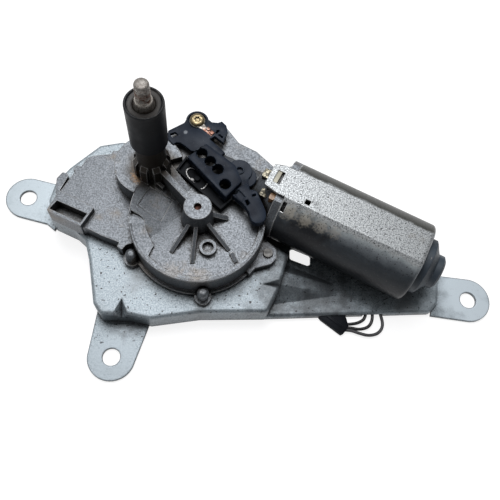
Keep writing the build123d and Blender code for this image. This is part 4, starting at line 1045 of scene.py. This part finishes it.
# %% Ring terminal
ring_arc = circle(*screw_place, 4.9, 26, radians(-30), radians(275))
ring = ring_arc + [(2.6, 57.3), (7.6, 52.9), (9.6, 55.0), (4.2, 60.1)]
pads = [
    [(3.9, 58.0), (5.7, 56.6), (7.4, 57.6), (5.5, 59.6)],
    [(6.2, 55.4), (7.8, 53.6), (9.8, 55.2), (7.9, 57.2)],
]
terminal = joined([moulded(ring, 5.6, 6.25, (), 0.15)] + [moulded(pad, 6.2, 6.9, (), 0.2) for pad in pads])
new_piece("ring_terminal", terminal, strip_metal, "housing", "terminal_strip")
print("terminal pads:", len(pads))

# %% [markdown]
# Wires are curves with a round section. A curve of order 3 passes close to its points and turns smoothly
# between them.

# %% Helper for wires


def wire(name, points, radius, material, node):
    """A smooth round wire that passes near its points."""
    data = bpy.data.curves.new(name, "CURVE")
    data.dimensions = "3D"
    data.bevel_depth = radius * mm
    data.bevel_resolution = 4
    data.resolution_u = 10
    data.use_fill_caps = True
    spline = data.splines.new("NURBS")
    spline.points.add(len(points) - 1)
    for point, place in zip(spline.points, points):
        point.co = (*at(*place), 1.0)
    spline.order_u = 3
    spline.use_endpoint_u = True
    data.materials.append(material)
    piece = bpy.data.objects.new(name, data)
    scene.collection.objects.link(piece)
    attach(piece, "housing")
    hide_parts(node)
    return piece


# %% [markdown]
# The spring clip lies on the disc, is bent to and fro, and has a round bead at its middle.

# %% Spring clip
clip_level, clip_r = 1.5, 0.42
bead_place, bead_r = (-3.7, 24.5, 1.9), 1.25
clip_line = [
    (0.8, 30.4), (-2.2, 32.6), (-5.2, 33.2), (-7.4, 31.4), (-7.0, 28.2), (-5.2, 25.6), (-3.6, 24.6),
    (-2.6, 22.4), (-1.6, 19.8), (0.8, 18.4), (3.4, 19.2), (4.8, 21.2), (6.2, 23.8),
]
clip_points = [(x, y, clip_level) for x, y in clip_line]
wire("clip_wire", clip_points, clip_r, wire_steel, "spring_clip")
bm = bmesh.new()
bmesh.ops.create_uvsphere(bm, u_segments=20, v_segments=12, radius=bead_r * mm)
bmesh.ops.translate(bm, verts=bm.verts, vec=at(*bead_place))
new_piece("clip_bead", bm, wire_steel, "housing", None)
print("clip points:", len(clip_line))

# %% [markdown]
# The three leads loop out under the bracket's edge and go back in, each a little wider than the last.

# %% Leads
lead_level, lead_r = -33.2, 1.0
leads = {
    "lead_a": [(88.0, -55.4), (93.5, -54.9), (99.6, -54.2), (105.0, -50.6), (105.4, -36.0), (104.2, -16.0)],
    "lead_b": [
        (88.0, -57.0), (93.7, -56.9), (99.6, -58.4), (106.4, -56.6), (109.4, -50.0), (108.2, -36.0),
        (106.7, -16.0),
    ],
    "lead_c": [
        (88.0, -58.6), (93.4, -58.3), (99.4, -60.6), (105.4, -62.2), (111.6, -60.8), (115.2, -55.8),
        (114.0, -48.0), (111.6, -36.0), (109.2, -16.0),
    ],
}
for name, line in leads.items():
    material, slot = (lead_grey, "lead_grey") if name == "lead_c" else (lead_black, "lead_black")
    wire(name + "_wire", [(x, y, lead_level) for x, y in line], lead_r, material, name)
print("leads:", len(leads))
